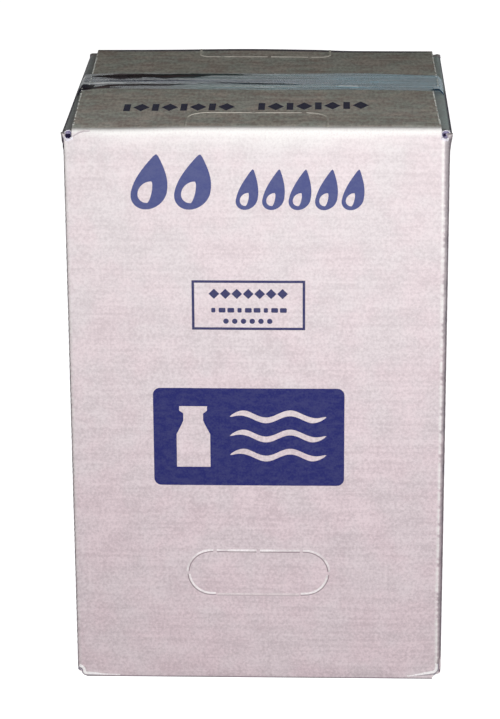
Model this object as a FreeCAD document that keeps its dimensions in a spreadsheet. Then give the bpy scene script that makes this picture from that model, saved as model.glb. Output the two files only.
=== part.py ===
import FreeCAD, Part
import math
import os
import re
import Sketcher

# A shut bag-in-box carton for 20 litres: one folded sheet of corrugated board, closed at the top
# and at the base by two outer flaps each, with a strip of clear film tape along each seam.
# The front panel faces -Y, X runs along it, Z is up, and the origin is the centre of the base.
# The carton can't be seen into, so it is one solid. Its inner flaps show only as a strip at each
# side, one board below the outer flaps.

# name, millimetres, what it is
SIZES = [
    ("width", 256, "outside, along the front panel"),
    ("depth", 224, "outside, from front to back"),
    ("height", 400, "outside, from the base to the top flaps"),
    ("board", 3, "thickness of the corrugated board"),
    ("uprightRadius", 4.5, "outside of the four upright folds"),
    ("outerFoldRadius", 4, "outside of the outer flaps' folds"),
    ("innerFoldRadius", 3, "outside of the inner flaps' folds"),
    ("flapInset", 6, "from a side of the carton to an outer flap"),
    ("seamGap", 2, "between two outer flaps"),
    ("seamShift", 4, "top seam, behind the middle of the carton"),
    ("frontSlip", -2.5, "top front flap at the seam, along X"),
    ("backSlip", 1.8, "top back flap at the seam, along X"),
    ("baseSlip", 1, "base flaps at the seam, along X"),
    ("slotWidth", 3.6, "open end of the slot beside each flap"),
    ("slotReach", 5, "open end of the slot, from the panel's face inwards"),
    ("slotDrop", 3.4, "open end of the slot, past the inner flaps"),
    ("cutWidth", 0.8, "half-cut lines"),
    ("cutDepth", 1.5, "half-cut lines"),
    ("creaseWidth", 2, "hinge of the hand hole's flap"),
    ("creaseDepth", 0.6, "hinge of the hand hole's flap"),
    ("nickLength", 2.6, "uncut bridge in a half-cut line"),
    ("nickSpacing", 32, "from one bridge to the next"),
    ("handleWidth", 97, "hand hole, along the panel"),
    ("handleRise", 32.6, "hand hole, up the panel"),
    ("handleHeight", 81.5, "middle of the hand hole above the base"),
    ("doorWidth", 94, "press-out doors, along the fold"),
    ("frontDoorReach", 43.5, "front door, from its fold"),
    ("frontDoorRadius", 15, "front door's two corners"),
    ("backDoorReach", 24, "back door, from its fold"),
    ("backDoorRadius", 7, "back door's two corners"),
    ("glueLapInset", 5, "cut edge of the glued side, from the back"),
    ("tapeWidth", 48, "across a seam"),
    ("tapeShift", 9, "middle of the top tape behind its seam"),
    ("tapeFilm", 0.25, "tape with its glue"),
    ("tapeTail", 55, "tape on a side panel, past the inner flaps"),
]

SHEET = "Sizes"
ROOT_POINT = (-1, 1)  # a sketch's own origin, in Sketcher's numbering
# signs, as they stand in expressions
LEFT, RIGHT = "-1", "1"  # along X
FRONT, BACK = "-1", "1"  # along Y
DOWN, UP = "-1", "1"  # along Z

doc = FreeCAD.newDocument("Carton")


# Sizes and expressions


def make_sheet():
    sheet = doc.addObject("Spreadsheet::Sheet", SHEET)
    for row, (name, value, note) in enumerate(SIZES, start=1):
        sheet.set(f"A{row}", name)
        sheet.set(f"B{row}", str(value))
        sheet.set(f"C{row}", note)
        sheet.setAlias(f"B{row}", name)
    doc.recompute()


def cells(expression):
    """The expression, with each size's name as the address of its cell."""
    names = {name for name, _, _ in SIZES}
    return re.sub(r"[A-Za-z]+", lambda m: f"{SHEET}.{m[0]}" if m[0] in names else m[0], expression)


def value_of(owner, expression):
    """What an expression comes to; a plain number is itself."""
    if isinstance(expression, str):
        return float(owner.evalExpression(cells(expression)))
    return expression


# Bodies, sketches and features


def make_body(label):
    body = doc.addObject("PartDesign::Body", label)
    body.Label = label
    return body


def make_sketch(body, name, role, offset):
    """A sketch on one of the body's origin planes, moved along that plane's normal."""
    sketch = body.newObject("Sketcher::SketchObject", name)
    plane = [feature for feature in body.Origin.OriginFeatures if feature.Role == role][0]
    sketch.AttachmentSupport = [(plane, "")]
    sketch.MapMode = "FlatFace"
    sketch.setExpression("AttachmentOffset.Base.z", cells(offset))
    doc.recompute()
    return sketch


def bind(sketch, kind, ends, expression):
    """One dimension of a sketch, tied to the sheet."""
    constraint = Sketcher.Constraint(kind, *ends, value_of(sketch, expression))
    index = sketch.addConstraint(constraint)
    sketch.renameConstraint(index, f"size{index}")
    sketch.setExpression(f"Constraints.size{index}", cells(expression))


def bind_point(sketch, geometry, end, x, y):
    """Ties a point of the sketch to its place; a plain number is only a first guess."""
    for kind, place in (("DistanceX", x), ("DistanceY", y)):
        if isinstance(place, str):
            bind(sketch, kind, (*ROOT_POINT, geometry, end), place)


def quarter_arc(start, finish, radius, turn):
    """A quarter of a circle from start to finish, anticlockwise when turn is 1."""
    chord = finish - start
    rise = math.sqrt(radius**2 - (chord.Length / 2) ** 2)
    centre = (start + finish) * 0.5 + FreeCAD.Vector(-chord.y, chord.x, 0) * (turn * rise / chord.Length)
    circle = Part.Circle(centre, FreeCAD.Vector(0, 0, 1), radius)
    first, last = (start, finish) if turn > 0 else (finish, start)
    return Part.ArcOfCircle(circle, circle.parameter(first), circle.parameter(last))


def draw_outline(sketch, corners):
    """A closed outline. After a corner (x, y) it runs straight to the next one, and after
    a corner (x, y, radius, turn) it runs there along a quarter of a circle."""
    count = len(corners)
    first = sketch.GeometryCount
    points = [FreeCAD.Vector(value_of(sketch, c[0]), value_of(sketch, c[1]), 0) for c in corners]
    ends = []
    for index, corner in enumerate(corners):
        start, finish = points[index], points[(index + 1) % count]
        if len(corner) == 2:
            sketch.addGeometry(Part.LineSegment(start, finish), False)
            ends.append((1, 2))
        else:
            radius, turn = value_of(sketch, corner[2]), corner[3]
            sketch.addGeometry(quarter_arc(start, finish, radius, turn), False)
            ends.append((1, 2) if turn > 0 else (2, 1))
    for index, corner in enumerate(corners):
        here = first + index
        before = first + (index - 1) % count
        meeting = (before, ends[index - 1][1], here, ends[index][0])
        sketch.addConstraint(Sketcher.Constraint("Coincident", *meeting))
        bind_point(sketch, here, ends[index][0], corner[0], corner[1])
        if len(corner) == 4:
            bind(sketch, "Radius", (here,), corner[2])


def draw_rectangle(sketch, left, right, low, high):
    draw_outline(sketch, [(left, low), (right, low), (right, high), (left, high)])


def draw_rounded_rectangle(sketch, left, right, low, high, radius):
    draw_outline(
        sketch,
        [
            (f"{left} + {radius}", low),
            (f"{right} - {radius}", low, radius, 1),
            (right, f"{low} + {radius}"),
            (right, f"{high} - {radius}", radius, 1),
            (f"{right} - {radius}", high),
            (f"{left} + {radius}", high, radius, 1),
            (left, f"{high} - {radius}"),
            (left, f"{low} + {radius}", radius, 1),
        ],
    )


def add_feature(body, kind, sketch, length, reverse=False):
    """A Pad or a Pocket of one sketch, with a check that it adds or takes material."""
    before = body.Shape.Volume if body.Tip else 0
    feature = body.newObject(f"PartDesign::{kind}", f"{sketch.Name}{kind}")
    feature.Profile = sketch
    feature.Reversed = reverse
    feature.setExpression("Length", cells(length))
    doc.recompute()
    change = body.Shape.Volume - before
    if (change > 0) != (kind == "Pad"):
        raise RuntimeError(f"{feature.Name} changes nothing or points the wrong way")
    return feature


# The carton


def add_core(body):
    """The four panels and the inner flaps."""
    sketch = make_sketch(body, "Panels", "XY_Plane", "board")
    draw_rounded_rectangle(sketch, "-width/2", "width/2", "-depth/2", "depth/2", "uprightRadius")
    add_feature(body, "Pad", sketch, "height - 2*board")


def draw_fold(sketch, x, y, x_sign, y_sign, radius):
    """What a fold of this radius leaves out of the square corner at (x, y)."""
    turn = 1 if x_sign == y_sign else -1
    below = f"{y} - {y_sign}*{radius}"
    beside = f"{x} - {x_sign}*{radius}"
    draw_outline(sketch, [(x, y), (x, below, radius, turn), (beside, y)])


def round_inner_folds(body):
    sketch = make_sketch(body, "InnerFolds", "XZ_Plane", "-depth/2")
    for side in (LEFT, RIGHT):
        draw_fold(sketch, f"{side}*width/2", "board", side, DOWN, "innerFoldRadius")
        draw_fold(sketch, f"{side}*width/2", "height - board", side, UP, "innerFoldRadius")
    add_feature(body, "Pocket", sketch, "depth", reverse=True)


def add_outer_flap(body, name, base, panel, seam, slip):
    """One outer flap, from its panel's face to the seam, where it has slipped along X."""
    sketch = make_sketch(body, name, "XY_Plane", base)
    fold, edge = f"{panel}*depth/2", "(width/2 - flapInset)"
    draw_outline(
        sketch,
        [(f"-{edge}", fold), (edge, fold), (f"{edge} + {slip}", seam), (f"-{edge} + {slip}", seam)],
    )
    add_feature(body, "Pad", sketch, "board")


def add_outer_flaps(body):
    top = "height - board"
    add_outer_flap(body, "TopFrontFlap", top, FRONT, "seamShift - seamGap/2", "frontSlip")
    add_outer_flap(body, "TopBackFlap", top, BACK, "seamShift + seamGap/2", "backSlip")
    add_outer_flap(body, "BaseFrontFlap", "0", FRONT, "-seamGap/2", "baseSlip")
    add_outer_flap(body, "BaseBackFlap", "0", BACK, "seamGap/2", "baseSlip")


def round_outer_folds(body):
    sketch = make_sketch(body, "OuterFolds", "YZ_Plane", "-width/2")
    for panel in (FRONT, BACK):
        draw_fold(sketch, f"{panel}*depth/2", "0", panel, DOWN, "outerFoldRadius")
        draw_fold(sketch, f"{panel}*depth/2", "height", panel, UP, "outerFoldRadius")
    add_feature(body, "Pocket", sketch, "width")


def cut_slot_ends(body):
    """The holes left where a slot of the sheet runs out at each corner of the carton."""
    for name, offset, upward in (("TopSlots", "height - board", False), ("BaseSlots", "board", True)):
        sketch = make_sketch(body, name, "XY_Plane", offset)
        for side in (LEFT, RIGHT):
            inner = f"{side}*(width/2 - flapInset)"
            outer = f"{side}*(width/2 - flapInset + slotWidth)"
            for panel in (FRONT, BACK):
                face = f"{panel}*depth/2"
                draw_rectangle(sketch, inner, outer, face, f"{panel}*(depth/2 - slotReach)")
        add_feature(body, "Pocket", sketch, "slotDrop", reverse=upward)


def press_in_base_tape(body):
    """The base tape is pressed into the board by its own thickness, so the base is flat."""
    sketch = make_sketch(body, "BaseTapePrint", "XY_Plane", "0")
    draw_rectangle(sketch, "-width/2", "width/2", "-tapeWidth/2", "tapeWidth/2")
    add_feature(body, "Pocket", sketch, "tapeFilm", reverse=True)


def draw_door(sketch, panel, reach, radius):
    """A half-cut line from the fold, round a door's far edge and back to the fold."""
    fold = f"{panel}*depth/2"
    far = f"{panel}*(depth/2 - {reach}"
    across = "doorWidth/2"
    outer, inner = f"({radius} + cutWidth/2)", f"({radius} - cutWidth/2)"
    turn = -1 if panel == FRONT else 1
    draw_outline(
        sketch,
        [
            (f"-{across} - cutWidth/2", fold),
            (f"-{across} - cutWidth/2", f"{far} + {radius})", outer, turn),
            (f"-{across} + {radius}", f"{far} - cutWidth/2)"),
            (f"{across} - {radius}", f"{far} - cutWidth/2)", outer, turn),
            (f"{across} + cutWidth/2", f"{far} + {radius})"),
            (f"{across} + cutWidth/2", fold),
            (f"{across} - cutWidth/2", fold),
            (f"{across} - cutWidth/2", f"{far} + {radius})", inner, -turn),
            (f"{across} - {radius}", f"{far} + cutWidth/2)"),
            (f"-{across} + {radius}", f"{far} + cutWidth/2)", inner, -turn),
            (f"-{across} + cutWidth/2", f"{far} + {radius})"),
            (f"-{across} + cutWidth/2", fold),
        ],
    )


def draw_nicks(sketch, middle, places):
    """Uncut bridges of a half-cut line that runs along X at this height of the sketch."""
    for place in places:
        centre = f"{place}*nickSpacing"
        draw_rectangle(
            sketch,
            f"{centre} - nickLength/2",
            f"{centre} + nickLength/2",
            f"{middle} - cutWidth/2",
            f"{middle} + cutWidth/2",
        )


def cut_door(body, name, panel, reach, radius):
    line = make_sketch(body, f"{name}Line", "XY_Plane", "height")
    draw_door(line, panel, reach, radius)
    add_feature(body, "Pocket", line, "cutDepth")
    nicks = make_sketch(body, f"{name}Nicks", "XY_Plane", "height")
    draw_nicks(nicks, f"{panel}*(depth/2 - {reach})", ("-1", "0", "1"))
    add_feature(body, "Pad", nicks, "cutDepth", reverse=True)


def cut_hand_hole(body):
    """A hand hole in the front panel, still shut: half-cut round its top and its two ends,
    and creased along its lower edge, where its flap hinges."""
    low, high = "(handleHeight - handleRise/2)", "(handleHeight + handleRise/2)"
    end, radius = "(handleWidth/2 - handleRise/2)", "handleRise/2"
    outer, inner = "(handleRise/2 + cutWidth/2)", "(handleRise/2 - cutWidth/2)"
    line = make_sketch(body, "HandleLine", "XZ_Plane", "depth/2")
    draw_outline(
        line,
        [
            (f"-{end}", f"{low} - cutWidth/2", outer, -1),
            ("-handleWidth/2 - cutWidth/2", "handleHeight", outer, -1),
            (f"-{end}", f"{high} + cutWidth/2"),
            (end, f"{high} + cutWidth/2", outer, -1),
            ("handleWidth/2 + cutWidth/2", "handleHeight", outer, -1),
            (end, f"{low} - cutWidth/2"),
            (end, f"{low} + cutWidth/2", inner, 1),
            ("handleWidth/2 - cutWidth/2", "handleHeight", inner, 1),
            (end, f"{high} - cutWidth/2"),
            (f"-{end}", f"{high} - cutWidth/2", inner, 1),
            ("-handleWidth/2 + cutWidth/2", "handleHeight", inner, 1),
            (f"-{end}", f"{low} + cutWidth/2"),
        ],
    )
    add_feature(body, "Pocket", line, "cutDepth")
    nicks = make_sketch(body, "HandleNicks", "XZ_Plane", "depth/2")
    draw_nicks(nicks, high, ("-1", "0", "1"))
    add_feature(body, "Pad", nicks, "cutDepth", reverse=True)
    hinge = make_sketch(body, "HandleHinge", "XZ_Plane", "depth/2")
    draw_rectangle(hinge, f"-{end}", end, f"{low} - creaseWidth/2", f"{low} + creaseWidth/2")
    add_feature(body, "Pocket", hinge, "creaseDepth")


def cut_glue_lap(body):
    """The upright cut edge of the side panel that is glued over the sheet's other end."""
    sketch = make_sketch(body, "GlueLap", "YZ_Plane", "-width/2")
    edge = "(depth/2 - uprightRadius - glueLapInset)"
    draw_rectangle(sketch, edge, f"{edge} + cutWidth", "0", "height")
    add_feature(body, "Pocket", sketch, "cutDepth", reverse=True)


def make_carton():
    body = make_body("carton")
    add_core(body)
    round_inner_folds(body)
    add_outer_flaps(body)
    round_outer_folds(body)
    cut_slot_ends(body)
    press_in_base_tape(body)
    cut_door(body, "FrontDoor", FRONT, "frontDoorReach", "frontDoorRadius")
    cut_door(body, "BackDoor", BACK, "backDoorReach", "backDoorRadius")
    cut_hand_hole(body)
    cut_glue_lap(body)
    return body


# The tapes


def guess_slope(sketch, side, reach, level, fold):
    """A first guess of a tape's slope between the flaps and the side panel, and of its drop."""
    radius = value_of(sketch, "innerFoldRadius")
    start_x = side * value_of(sketch, reach)
    to_panel = value_of(sketch, "width/2") - start_x
    to_fold = abs(value_of(sketch, level) - value_of(sketch, fold))
    way = FreeCAD.Vector(to_panel - radius, to_fold + radius, 0)
    slope = math.atan2(way.y, way.x) - math.asin(radius / way.Length)
    return slope, to_panel * math.tan(slope)


def draw_tape(sketch, up, level, fold, reaches):
    """A tape seen along Y: flat on the outer flaps at this level, straight down from their
    edges to the side panels, touching the inner flaps' folds, and along the panels."""
    film = value_of(sketch, "tapeFilm")
    end = f"{fold} - {up}*(innerFoldRadius + tapeTail)"
    inner, outer = {}, {}
    for side, reach in zip((-1, 1), reaches):
        slope, drop = guess_slope(sketch, side, reach, level, fold)
        bend = value_of(sketch, level) - up * drop
        wider = value_of(sketch, reach) + side * film * math.tan(slope / 2)
        inner[side] = [(reach, level), (f"{side}*width/2", bend), (f"{side}*width/2", end)]
        face = f"{side}*(width/2 + tapeFilm)"
        outer[side] = [(wider, f"{level} + {up}*tapeFilm"), (face, bend + up * film / 2), (face, end)]
    first = sketch.GeometryCount
    draw_outline(sketch, inner[-1][::-1] + inner[1] + outer[1][::-1] + outer[-1])
    # the slanted lines of the outline: left and right, on the inner and on the outer face
    slants = {-1: (first + 1, first + 9, 1), 1: (first + 3, first + 7, 2)}
    for side, (inside, outside, flap_end) in slants.items():
        circle = add_fold_circle(sketch, side, up, fold)
        sketch.addConstraint(Sketcher.Constraint("Tangent", inside, circle))
        sketch.addConstraint(Sketcher.Constraint("Parallel", outside, inside))
        bind(sketch, "Distance", (outside, flap_end, inside), "tapeFilm")


def add_fold_circle(sketch, side, up, fold):
    """The inner flap's fold, as a construction circle."""
    x = f"{side}*(width/2 - innerFoldRadius)"
    y = f"{fold} - {up}*innerFoldRadius"
    centre = FreeCAD.Vector(value_of(sketch, x), value_of(sketch, y), 0)
    radius = value_of(sketch, "innerFoldRadius")
    circle = sketch.addGeometry(Part.Circle(centre, FreeCAD.Vector(0, 0, 1), radius), True)
    bind_point(sketch, circle, 3, x, y)
    bind(sketch, "Radius", (circle,), "innerFoldRadius")
    return circle


def make_tape(label, up, level, fold, reaches, nearest):
    """A tape whose edge nearest to the front panel lies at nearest, along Y."""
    body = make_body(label)
    sketch = make_sketch(body, f"{label}_profile", "XZ_Plane", f"-({nearest})")
    draw_tape(sketch, up, level, fold, reaches)
    add_feature(body, "Pad", sketch, "tapeWidth", reverse=True)
    return body


def make_tapes():
    edge = "(width/2 - flapInset)"
    top_reaches = (f"-{edge} + min(frontSlip; backSlip; 0)", f"{edge} + max(frontSlip; backSlip; 0)")
    base_reaches = (f"-{edge} + min(baseSlip; 0)", f"{edge} + max(baseSlip; 0)")
    top_start = "seamShift + tapeShift - tapeWidth/2"
    top = make_tape("tape_top", 1, "height", "height - board", top_reaches, top_start)
    base = make_tape("tape_bottom", -1, "tapeFilm", "board", base_reaches, "-tapeWidth/2")
    return [top, base]


# Checks and files


def check_document():
    doc.recompute()
    for item in doc.Objects:
        failed = {"Invalid", "Error"} & set(item.State)
        if failed:
            raise RuntimeError(f"{item.Name} is {failed}")


def export(bodies):
    for body in bodies:
        shape = body.Shape
        if shape.isNull() or not shape.isValid() or len(shape.Solids) != 1:
            raise RuntimeError(f"{body.Label} is not one valid solid")
    os.makedirs("parts", exist_ok=True)
    for body in bodies:
        body.Shape.exportStep(f"parts/{body.Label}.step")
        box = body.Shape.BoundBox
        print(body.Label, f"{body.Shape.Volume:.1f} mm3", len(body.Shape.Faces), "faces", box)


make_sheet()
bodies = [make_carton()] + make_tapes()
check_document()
export(bodies)
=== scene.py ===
from itertools import product
from math import asin, atan2, cos, degrees, exp, hypot, pi, radians, sin, sqrt, tan

import bpy
from mathutils import Matrix, Vector, noise


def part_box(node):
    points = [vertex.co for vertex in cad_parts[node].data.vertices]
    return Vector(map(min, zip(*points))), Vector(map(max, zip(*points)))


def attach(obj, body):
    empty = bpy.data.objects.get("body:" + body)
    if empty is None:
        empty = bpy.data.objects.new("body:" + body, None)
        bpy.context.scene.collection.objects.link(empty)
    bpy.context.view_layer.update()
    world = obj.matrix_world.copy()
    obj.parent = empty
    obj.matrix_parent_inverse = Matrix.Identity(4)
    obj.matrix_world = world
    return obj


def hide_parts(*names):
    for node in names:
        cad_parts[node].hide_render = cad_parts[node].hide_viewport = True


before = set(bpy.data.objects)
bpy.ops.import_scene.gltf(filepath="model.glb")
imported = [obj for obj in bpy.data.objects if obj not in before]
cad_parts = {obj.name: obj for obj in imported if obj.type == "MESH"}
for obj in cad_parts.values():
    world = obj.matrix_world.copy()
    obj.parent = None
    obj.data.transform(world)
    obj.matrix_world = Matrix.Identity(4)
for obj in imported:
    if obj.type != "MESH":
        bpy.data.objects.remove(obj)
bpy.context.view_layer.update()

# lengths below are written in millimetres times mm
mm = 0.001
low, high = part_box("carton")
halfWidth = (high[0] - low[0]) / 2
halfDepth = (high[1] - low[1]) / 2
height = high[2] - low[2]

# the sheet of board that the carton is folded from
sheet = {
    "thickness": 2.9 * mm,
    "board": 3 * mm,  # step from an inner flap up to an outer one
    "uprightRadius": {-1: 2.8 * mm, 1: 4.5 * mm},  # left and right
    "outerRadius": 2.8 * mm,
    "baseRadius": 1.9 * mm,  # the folds that the carton stands on are pressed sharper
    "innerRadius": 3 * mm,
    "flapInset": 6 * mm,
    "seam": 4 * mm,
    "seamGap": 2 * mm,
    "frontSlip": -2.5 * mm,
    "backSlip": 1.8 * mm,
    "baseSlip": 1 * mm,
    "flutePitch": 8.6 * mm,
}
flapEdge = halfWidth - sheet["flapInset"]


# picking and shaping, as by hand


def leaveEdit():
    bpy.ops.object.mode_set(mode="OBJECT")


def clearSelection():
    if bpy.context.object and bpy.context.object.mode != "OBJECT":
        leaveEdit()
    bpy.ops.object.select_all(action="DESELECT")


def makeActive(piece):
    clearSelection()
    piece.select_set(True)
    bpy.context.view_layer.objects.active = piece


def nameNew(name):
    piece = bpy.context.object
    piece.name = name
    piece.data.name = name
    return piece


def applyAll(piece):
    makeActive(piece)
    bpy.ops.object.transform_apply(location=True, rotation=True, scale=True)


def applyModifier(piece, modifier):
    makeActive(piece)
    bpy.ops.object.modifier_apply(modifier=modifier.name)


def smoothByAngle(piece, angle):
    makeActive(piece)
    bpy.ops.object.shade_smooth_by_angle(angle=radians(angle))


def joinPieces(pieces, name):
    makeActive(pieces[0])
    for piece in pieces:
        piece.select_set(True)
    bpy.ops.object.join()
    return nameNew(name)


def copyPiece(piece, name):
    other = piece.copy()
    other.data = piece.data.copy()
    other.name = other.data.name = name
    bpy.context.collection.objects.link(other)
    return other


def newPlane(name, place, size, rotation=(0, 0, 0)):
    clearSelection()
    bpy.ops.mesh.primitive_plane_add(size=1, location=place, rotation=rotation)
    piece = nameNew(name)
    piece.scale = (*size, 1)
    applyAll(piece)
    return piece


def pick(piece, kind, test):
    # kind is VERT, EDGE or FACE; an edge's test gets its two ends, a face's its middle and normal
    bpy.context.view_layer.objects.active = piece
    bpy.ops.object.mode_set(mode="EDIT")
    bpy.ops.mesh.select_mode(type=kind)
    bpy.ops.mesh.select_all(action="DESELECT")
    leaveEdit()
    mesh = piece.data
    if kind == "VERT":
        for vertex in mesh.vertices:
            vertex.select = test(vertex.co)
    if kind == "EDGE":
        places = [vertex.co.copy() for vertex in mesh.vertices]
        for edge in mesh.edges:
            edge.select = test(places[edge.vertices[0]], places[edge.vertices[1]])
    if kind == "FACE":
        for face in mesh.polygons:
            face.select = test(face.center, face.normal)
    bpy.ops.object.mode_set(mode="EDIT")


def pickFaces(piece):
    pick(piece, "FACE", lambda middle, normal: True)


def extrudePicked(x, y, z):
    bpy.ops.mesh.extrude_region_move(TRANSFORM_OT_translate={"value": (x, y, z)})


def bevelPicked(offset, segments, affect="EDGES"):
    bpy.ops.mesh.bevel(offset=offset, segments=segments, affect=affect)
    leaveEdit()


def cutThrough(piece, place, normal):
    pickFaces(piece)
    bpy.ops.mesh.bisect(plane_co=place, plane_no=normal)
    leaveEdit()


def subdivideEdges(piece, cuts, test):
    pick(piece, "EDGE", test)
    bpy.ops.mesh.subdivide(number_cuts=cuts)
    leaveEdit()


def flipFaces(piece):
    pickFaces(piece)
    bpy.ops.mesh.flip_normals()
    leaveEdit()


def faceOutwards(piece):
    pickFaces(piece)
    bpy.ops.mesh.normals_make_consistent(inside=False)
    leaveEdit()


def near(a, b, slack=0.01 * mm):
    return abs(a - b) < slack


def edgeNear(a, b, axis, value):
    # whether both ends of an edge lie at this place along the axis
    return near(a[axis], value) and near(b[axis], value)


def fade(distance, reach):
    t = min(max(distance / reach, 0), 1)
    return t * t * (3 - 2 * t)


# how the flat board bulges, ripples over its flutes and is crushed at its folds

reliefValues = {
    "ripple": 0.045 * mm,
    "rippleUsual": 0.75,
    "ripplePatchy": 0.9,
    "patchSize": 38 * mm,
    "bulgeFront": 1.1 * mm,
    "bulgeSide": 1.6 * mm,
    "widest": 0.46,  # level of the widest place, as a share of the height
    "uneven": 0.22 * mm,
    "unevenSize": 55 * mm,
    "flapUneven": 0.3 * mm,
    # how far from the folds and ends the board is back to its free shape
    "flapCalm": 14 * mm,
    "foldCalm": 16 * mm,
    "endCalm": 10 * mm,
    "baseRise": 0.34 * mm,  # keeps the base flaps off the ground
    "arch": 1.35 * mm,
    "archFrom": -105 * mm,
    "archOver": 75 * mm,
    "archDrop": 50 * mm,
    "archReach": 24 * mm,
    "backRise": 0.9 * mm,
    "backRiseMiddle": -12 * mm,
    "backRiseWidth": 50 * mm,
    "backSink": 0.6 * mm,
    "backSinkFrom": 35 * mm,
    "backSinkOver": 30 * mm,
    "roll": 1.0 * mm,  # how steeply the flaps roll down to their folds
    "rollStart": 9 * mm,
    "crush": 0.42 * mm,
    "crushWidth": 2.4 * mm,
    "crushUsual": 0.75,
    "crushPatchy": 0.8,
    "crushPatch": 16 * mm,
    "besideFlap": 2.6 * mm,  # the arch reaches this far past the flap's cut side
}


def leanAt(y, z):
    # how far a flap has slipped sideways, more towards the seam
    slip = sheet["baseSlip"]
    if z > height / 2:
        slip = sheet["frontSlip"] if y < sheet["seam"] else sheet["backSlip"]
    return slip * min(max(halfDepth - abs(y), 0) / halfDepth, 1)


def rollDown(fromFold):
    values = reliefValues
    past = values["rollStart"] - max(fromFold, sheet["outerRadius"])
    return values["roll"] * (max(past, 0) / values["rollStart"]) ** 3


def bulgeLevel(z):
    # from 0 at the widest level to 1 at the top
    widest = reliefValues["widest"]
    return (z - height * widest) / (height * (1 - widest))


def reliefOnFlap(place, normal, ripple, broad):
    values = reliefValues
    x, y = place[:2]
    rise = ripple + values["flapUneven"] * broad
    if normal.z < 0:
        rise -= values["baseRise"]
    rise *= fade(min(halfDepth - abs(y), halfWidth - abs(x) + 6 * mm), values["flapCalm"])
    if normal.z > 0:
        rise -= rollDown(halfDepth - abs(y)) * normal.z
    return rise


def relief(place, normal):
    values = reliefValues
    x, y, z = place
    onFlap = abs(normal.z) > 0.7
    across = y if onFlap else z
    patch = noise.noise(Vector((x, y, z)) / values["patchSize"] + Vector((3.1, 7.7, 1.3)))
    ripple = values["ripple"] * (values["rippleUsual"] + values["ripplePatchy"] * patch)
    ripple *= cos(2 * pi * across / sheet["flutePitch"])
    broad = noise.noise(Vector((x, y, z)) / values["unevenSize"])
    if onFlap:
        return reliefOnFlap(place, normal, ripple, broad)
    if height - z < sheet["outerRadius"] and halfDepth - abs(y) < sheet["outerRadius"]:
        return -rollDown(0) * max(normal.z, 0)
    along, half, bulge = y, halfDepth, values["bulgeSide"]
    if abs(normal.y) > abs(normal.x):
        along, half, bulge = x, halfWidth, values["bulgeFront"]
    rise = ripple + bulge * max(1 - (along / half) ** 2, 0) * max(1 - bulgeLevel(z) ** 2, 0)
    rise += values["uneven"] * broad * fade(half - abs(along), values["foldCalm"])
    rise *= fade(min(z, height - z), values["endCalm"])
    # the flutes are crushed along the upright folds
    middle = sheet["uprightRadius"][1 if x > 0 else -1] * (1 - sqrt(0.5))
    toFold = hypot(abs(x) - halfWidth + middle, abs(y) - halfDepth + middle)
    teeth = 0.5 - 0.5 * cos(4 * pi * z / sheet["flutePitch"])
    patch = noise.noise(Vector((x * 3, y * 3, z)) / values["crushPatch"])
    teeth *= values["crushUsual"] + values["crushPatchy"] * patch
    return rise - values["crush"] * teeth * exp(-((toFold / values["crushWidth"]) ** 2))


def foldLift(place):
    # the front flap's fold stands higher in the middle and on the right, the back one's left of the middle
    values = reliefValues
    x, y, z = place
    fromFold, drop = halfDepth - abs(y), height - z
    if drop > values["archDrop"] or abs(x) > flapEdge + values["besideFlap"]:
        return 0
    if y > 0:
        rise = values["backRise"] * exp(-(((x - values["backRiseMiddle"]) / values["backRiseWidth"]) ** 2))
        rise -= values["backSink"] * fade(x - values["backSinkFrom"], values["backSinkOver"])
        return rise * exp(-((max(fromFold, 0) / values["archReach"]) ** 2)) * (1 - fade(drop, 14 * mm))
    amount = values["arch"] * fade(x - values["archFrom"], values["archOver"])
    if drop < sheet["outerRadius"]:
        return amount * exp(-((max(fromFold - sheet["outerRadius"], 0) / values["archReach"]) ** 2))
    if fromFold > 1 * mm:
        return 0
    return amount * (1 - fade(drop - sheet["outerRadius"], values["archDrop"]))


def pressRelief(piece):
    normals = [vertex.normal.copy() for vertex in piece.data.vertices]
    for vertex, normal in zip(piece.data.vertices, normals):
        lift = foldLift(vertex.co)
        vertex.co += normal * relief(vertex.co, normal)
        vertex.co.z += lift


# the four panels, each with its flaps

# where the side panels end at the lower corners, as (distance from the middle, level) in millimetres
footRims = {
    -1: (
        (122, 1.2), (123.4, 1.4), (124, 2.2), (124.5, 3.6),
        (125.2, 4.3), (126.5, 4.9), (127.6, 5.8), (128.4, 6.6),
    ),
    1: (
        (122, 1.8), (123, 2.6), (123.8, 4.6), (124.5, 6.4),
        (125.3, 7.8), (126, 9.3), (126.5, 10.6), (127.2, 12),
    ),
}


def onFootRim(side, across):
    points = footRims[side]
    for (x1, z1), (x2, z2) in zip(points, points[1:]):
        if across <= x2 * mm:
            return (z1 + (z2 - z1) * fade(across - x1 * mm, (x2 - x1) * mm)) * mm
    return points[-1][1] * mm


panelValues = {
    "rows": 19,  # cut into this many, and each of them into as many again
    "bow": 5,  # cuts across the inner flaps
    "columns": 30,
    "flapRows": 84,
    "sideColumns": 26,
    "foldSegments": 6,
    "plain": 6.6 * mm,  # height of the folds' own zone
    "innerFlap": 110 * mm,
    "innerFlapStart": 5.2 * mm,
    "innerFlapReach": 2.4 * mm,
    "longerFlap": 2.2 * mm,
    "rim": 0.9 * mm,
    "foldOut": 1.7 * mm,
    "foldOutReach": 8 * mm,
    "slotWidth": 3.6 * mm,
    "slotRise": 3.2 * mm,
    "footReach": 15 * mm,
    "footDraw": 1.1 * mm,
    "liner": 0.4 * mm,
    "edgeDepth": 3 * mm,
}


def turnOutwards(piece, test):
    # the first face that the test can judge shows which way the sheet faces
    for face in piece.data.polygons:
        verdict = test(face.center, face.normal)
        if verdict is not None:
            if not verdict:
                flipFaces(piece)
            return


def thicken(piece):
    solidify = piece.modifiers.new("board", "SOLIDIFY")
    solidify.thickness = sheet["thickness"]
    solidify.offset = -1
    applyModifier(piece, solidify)


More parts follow.
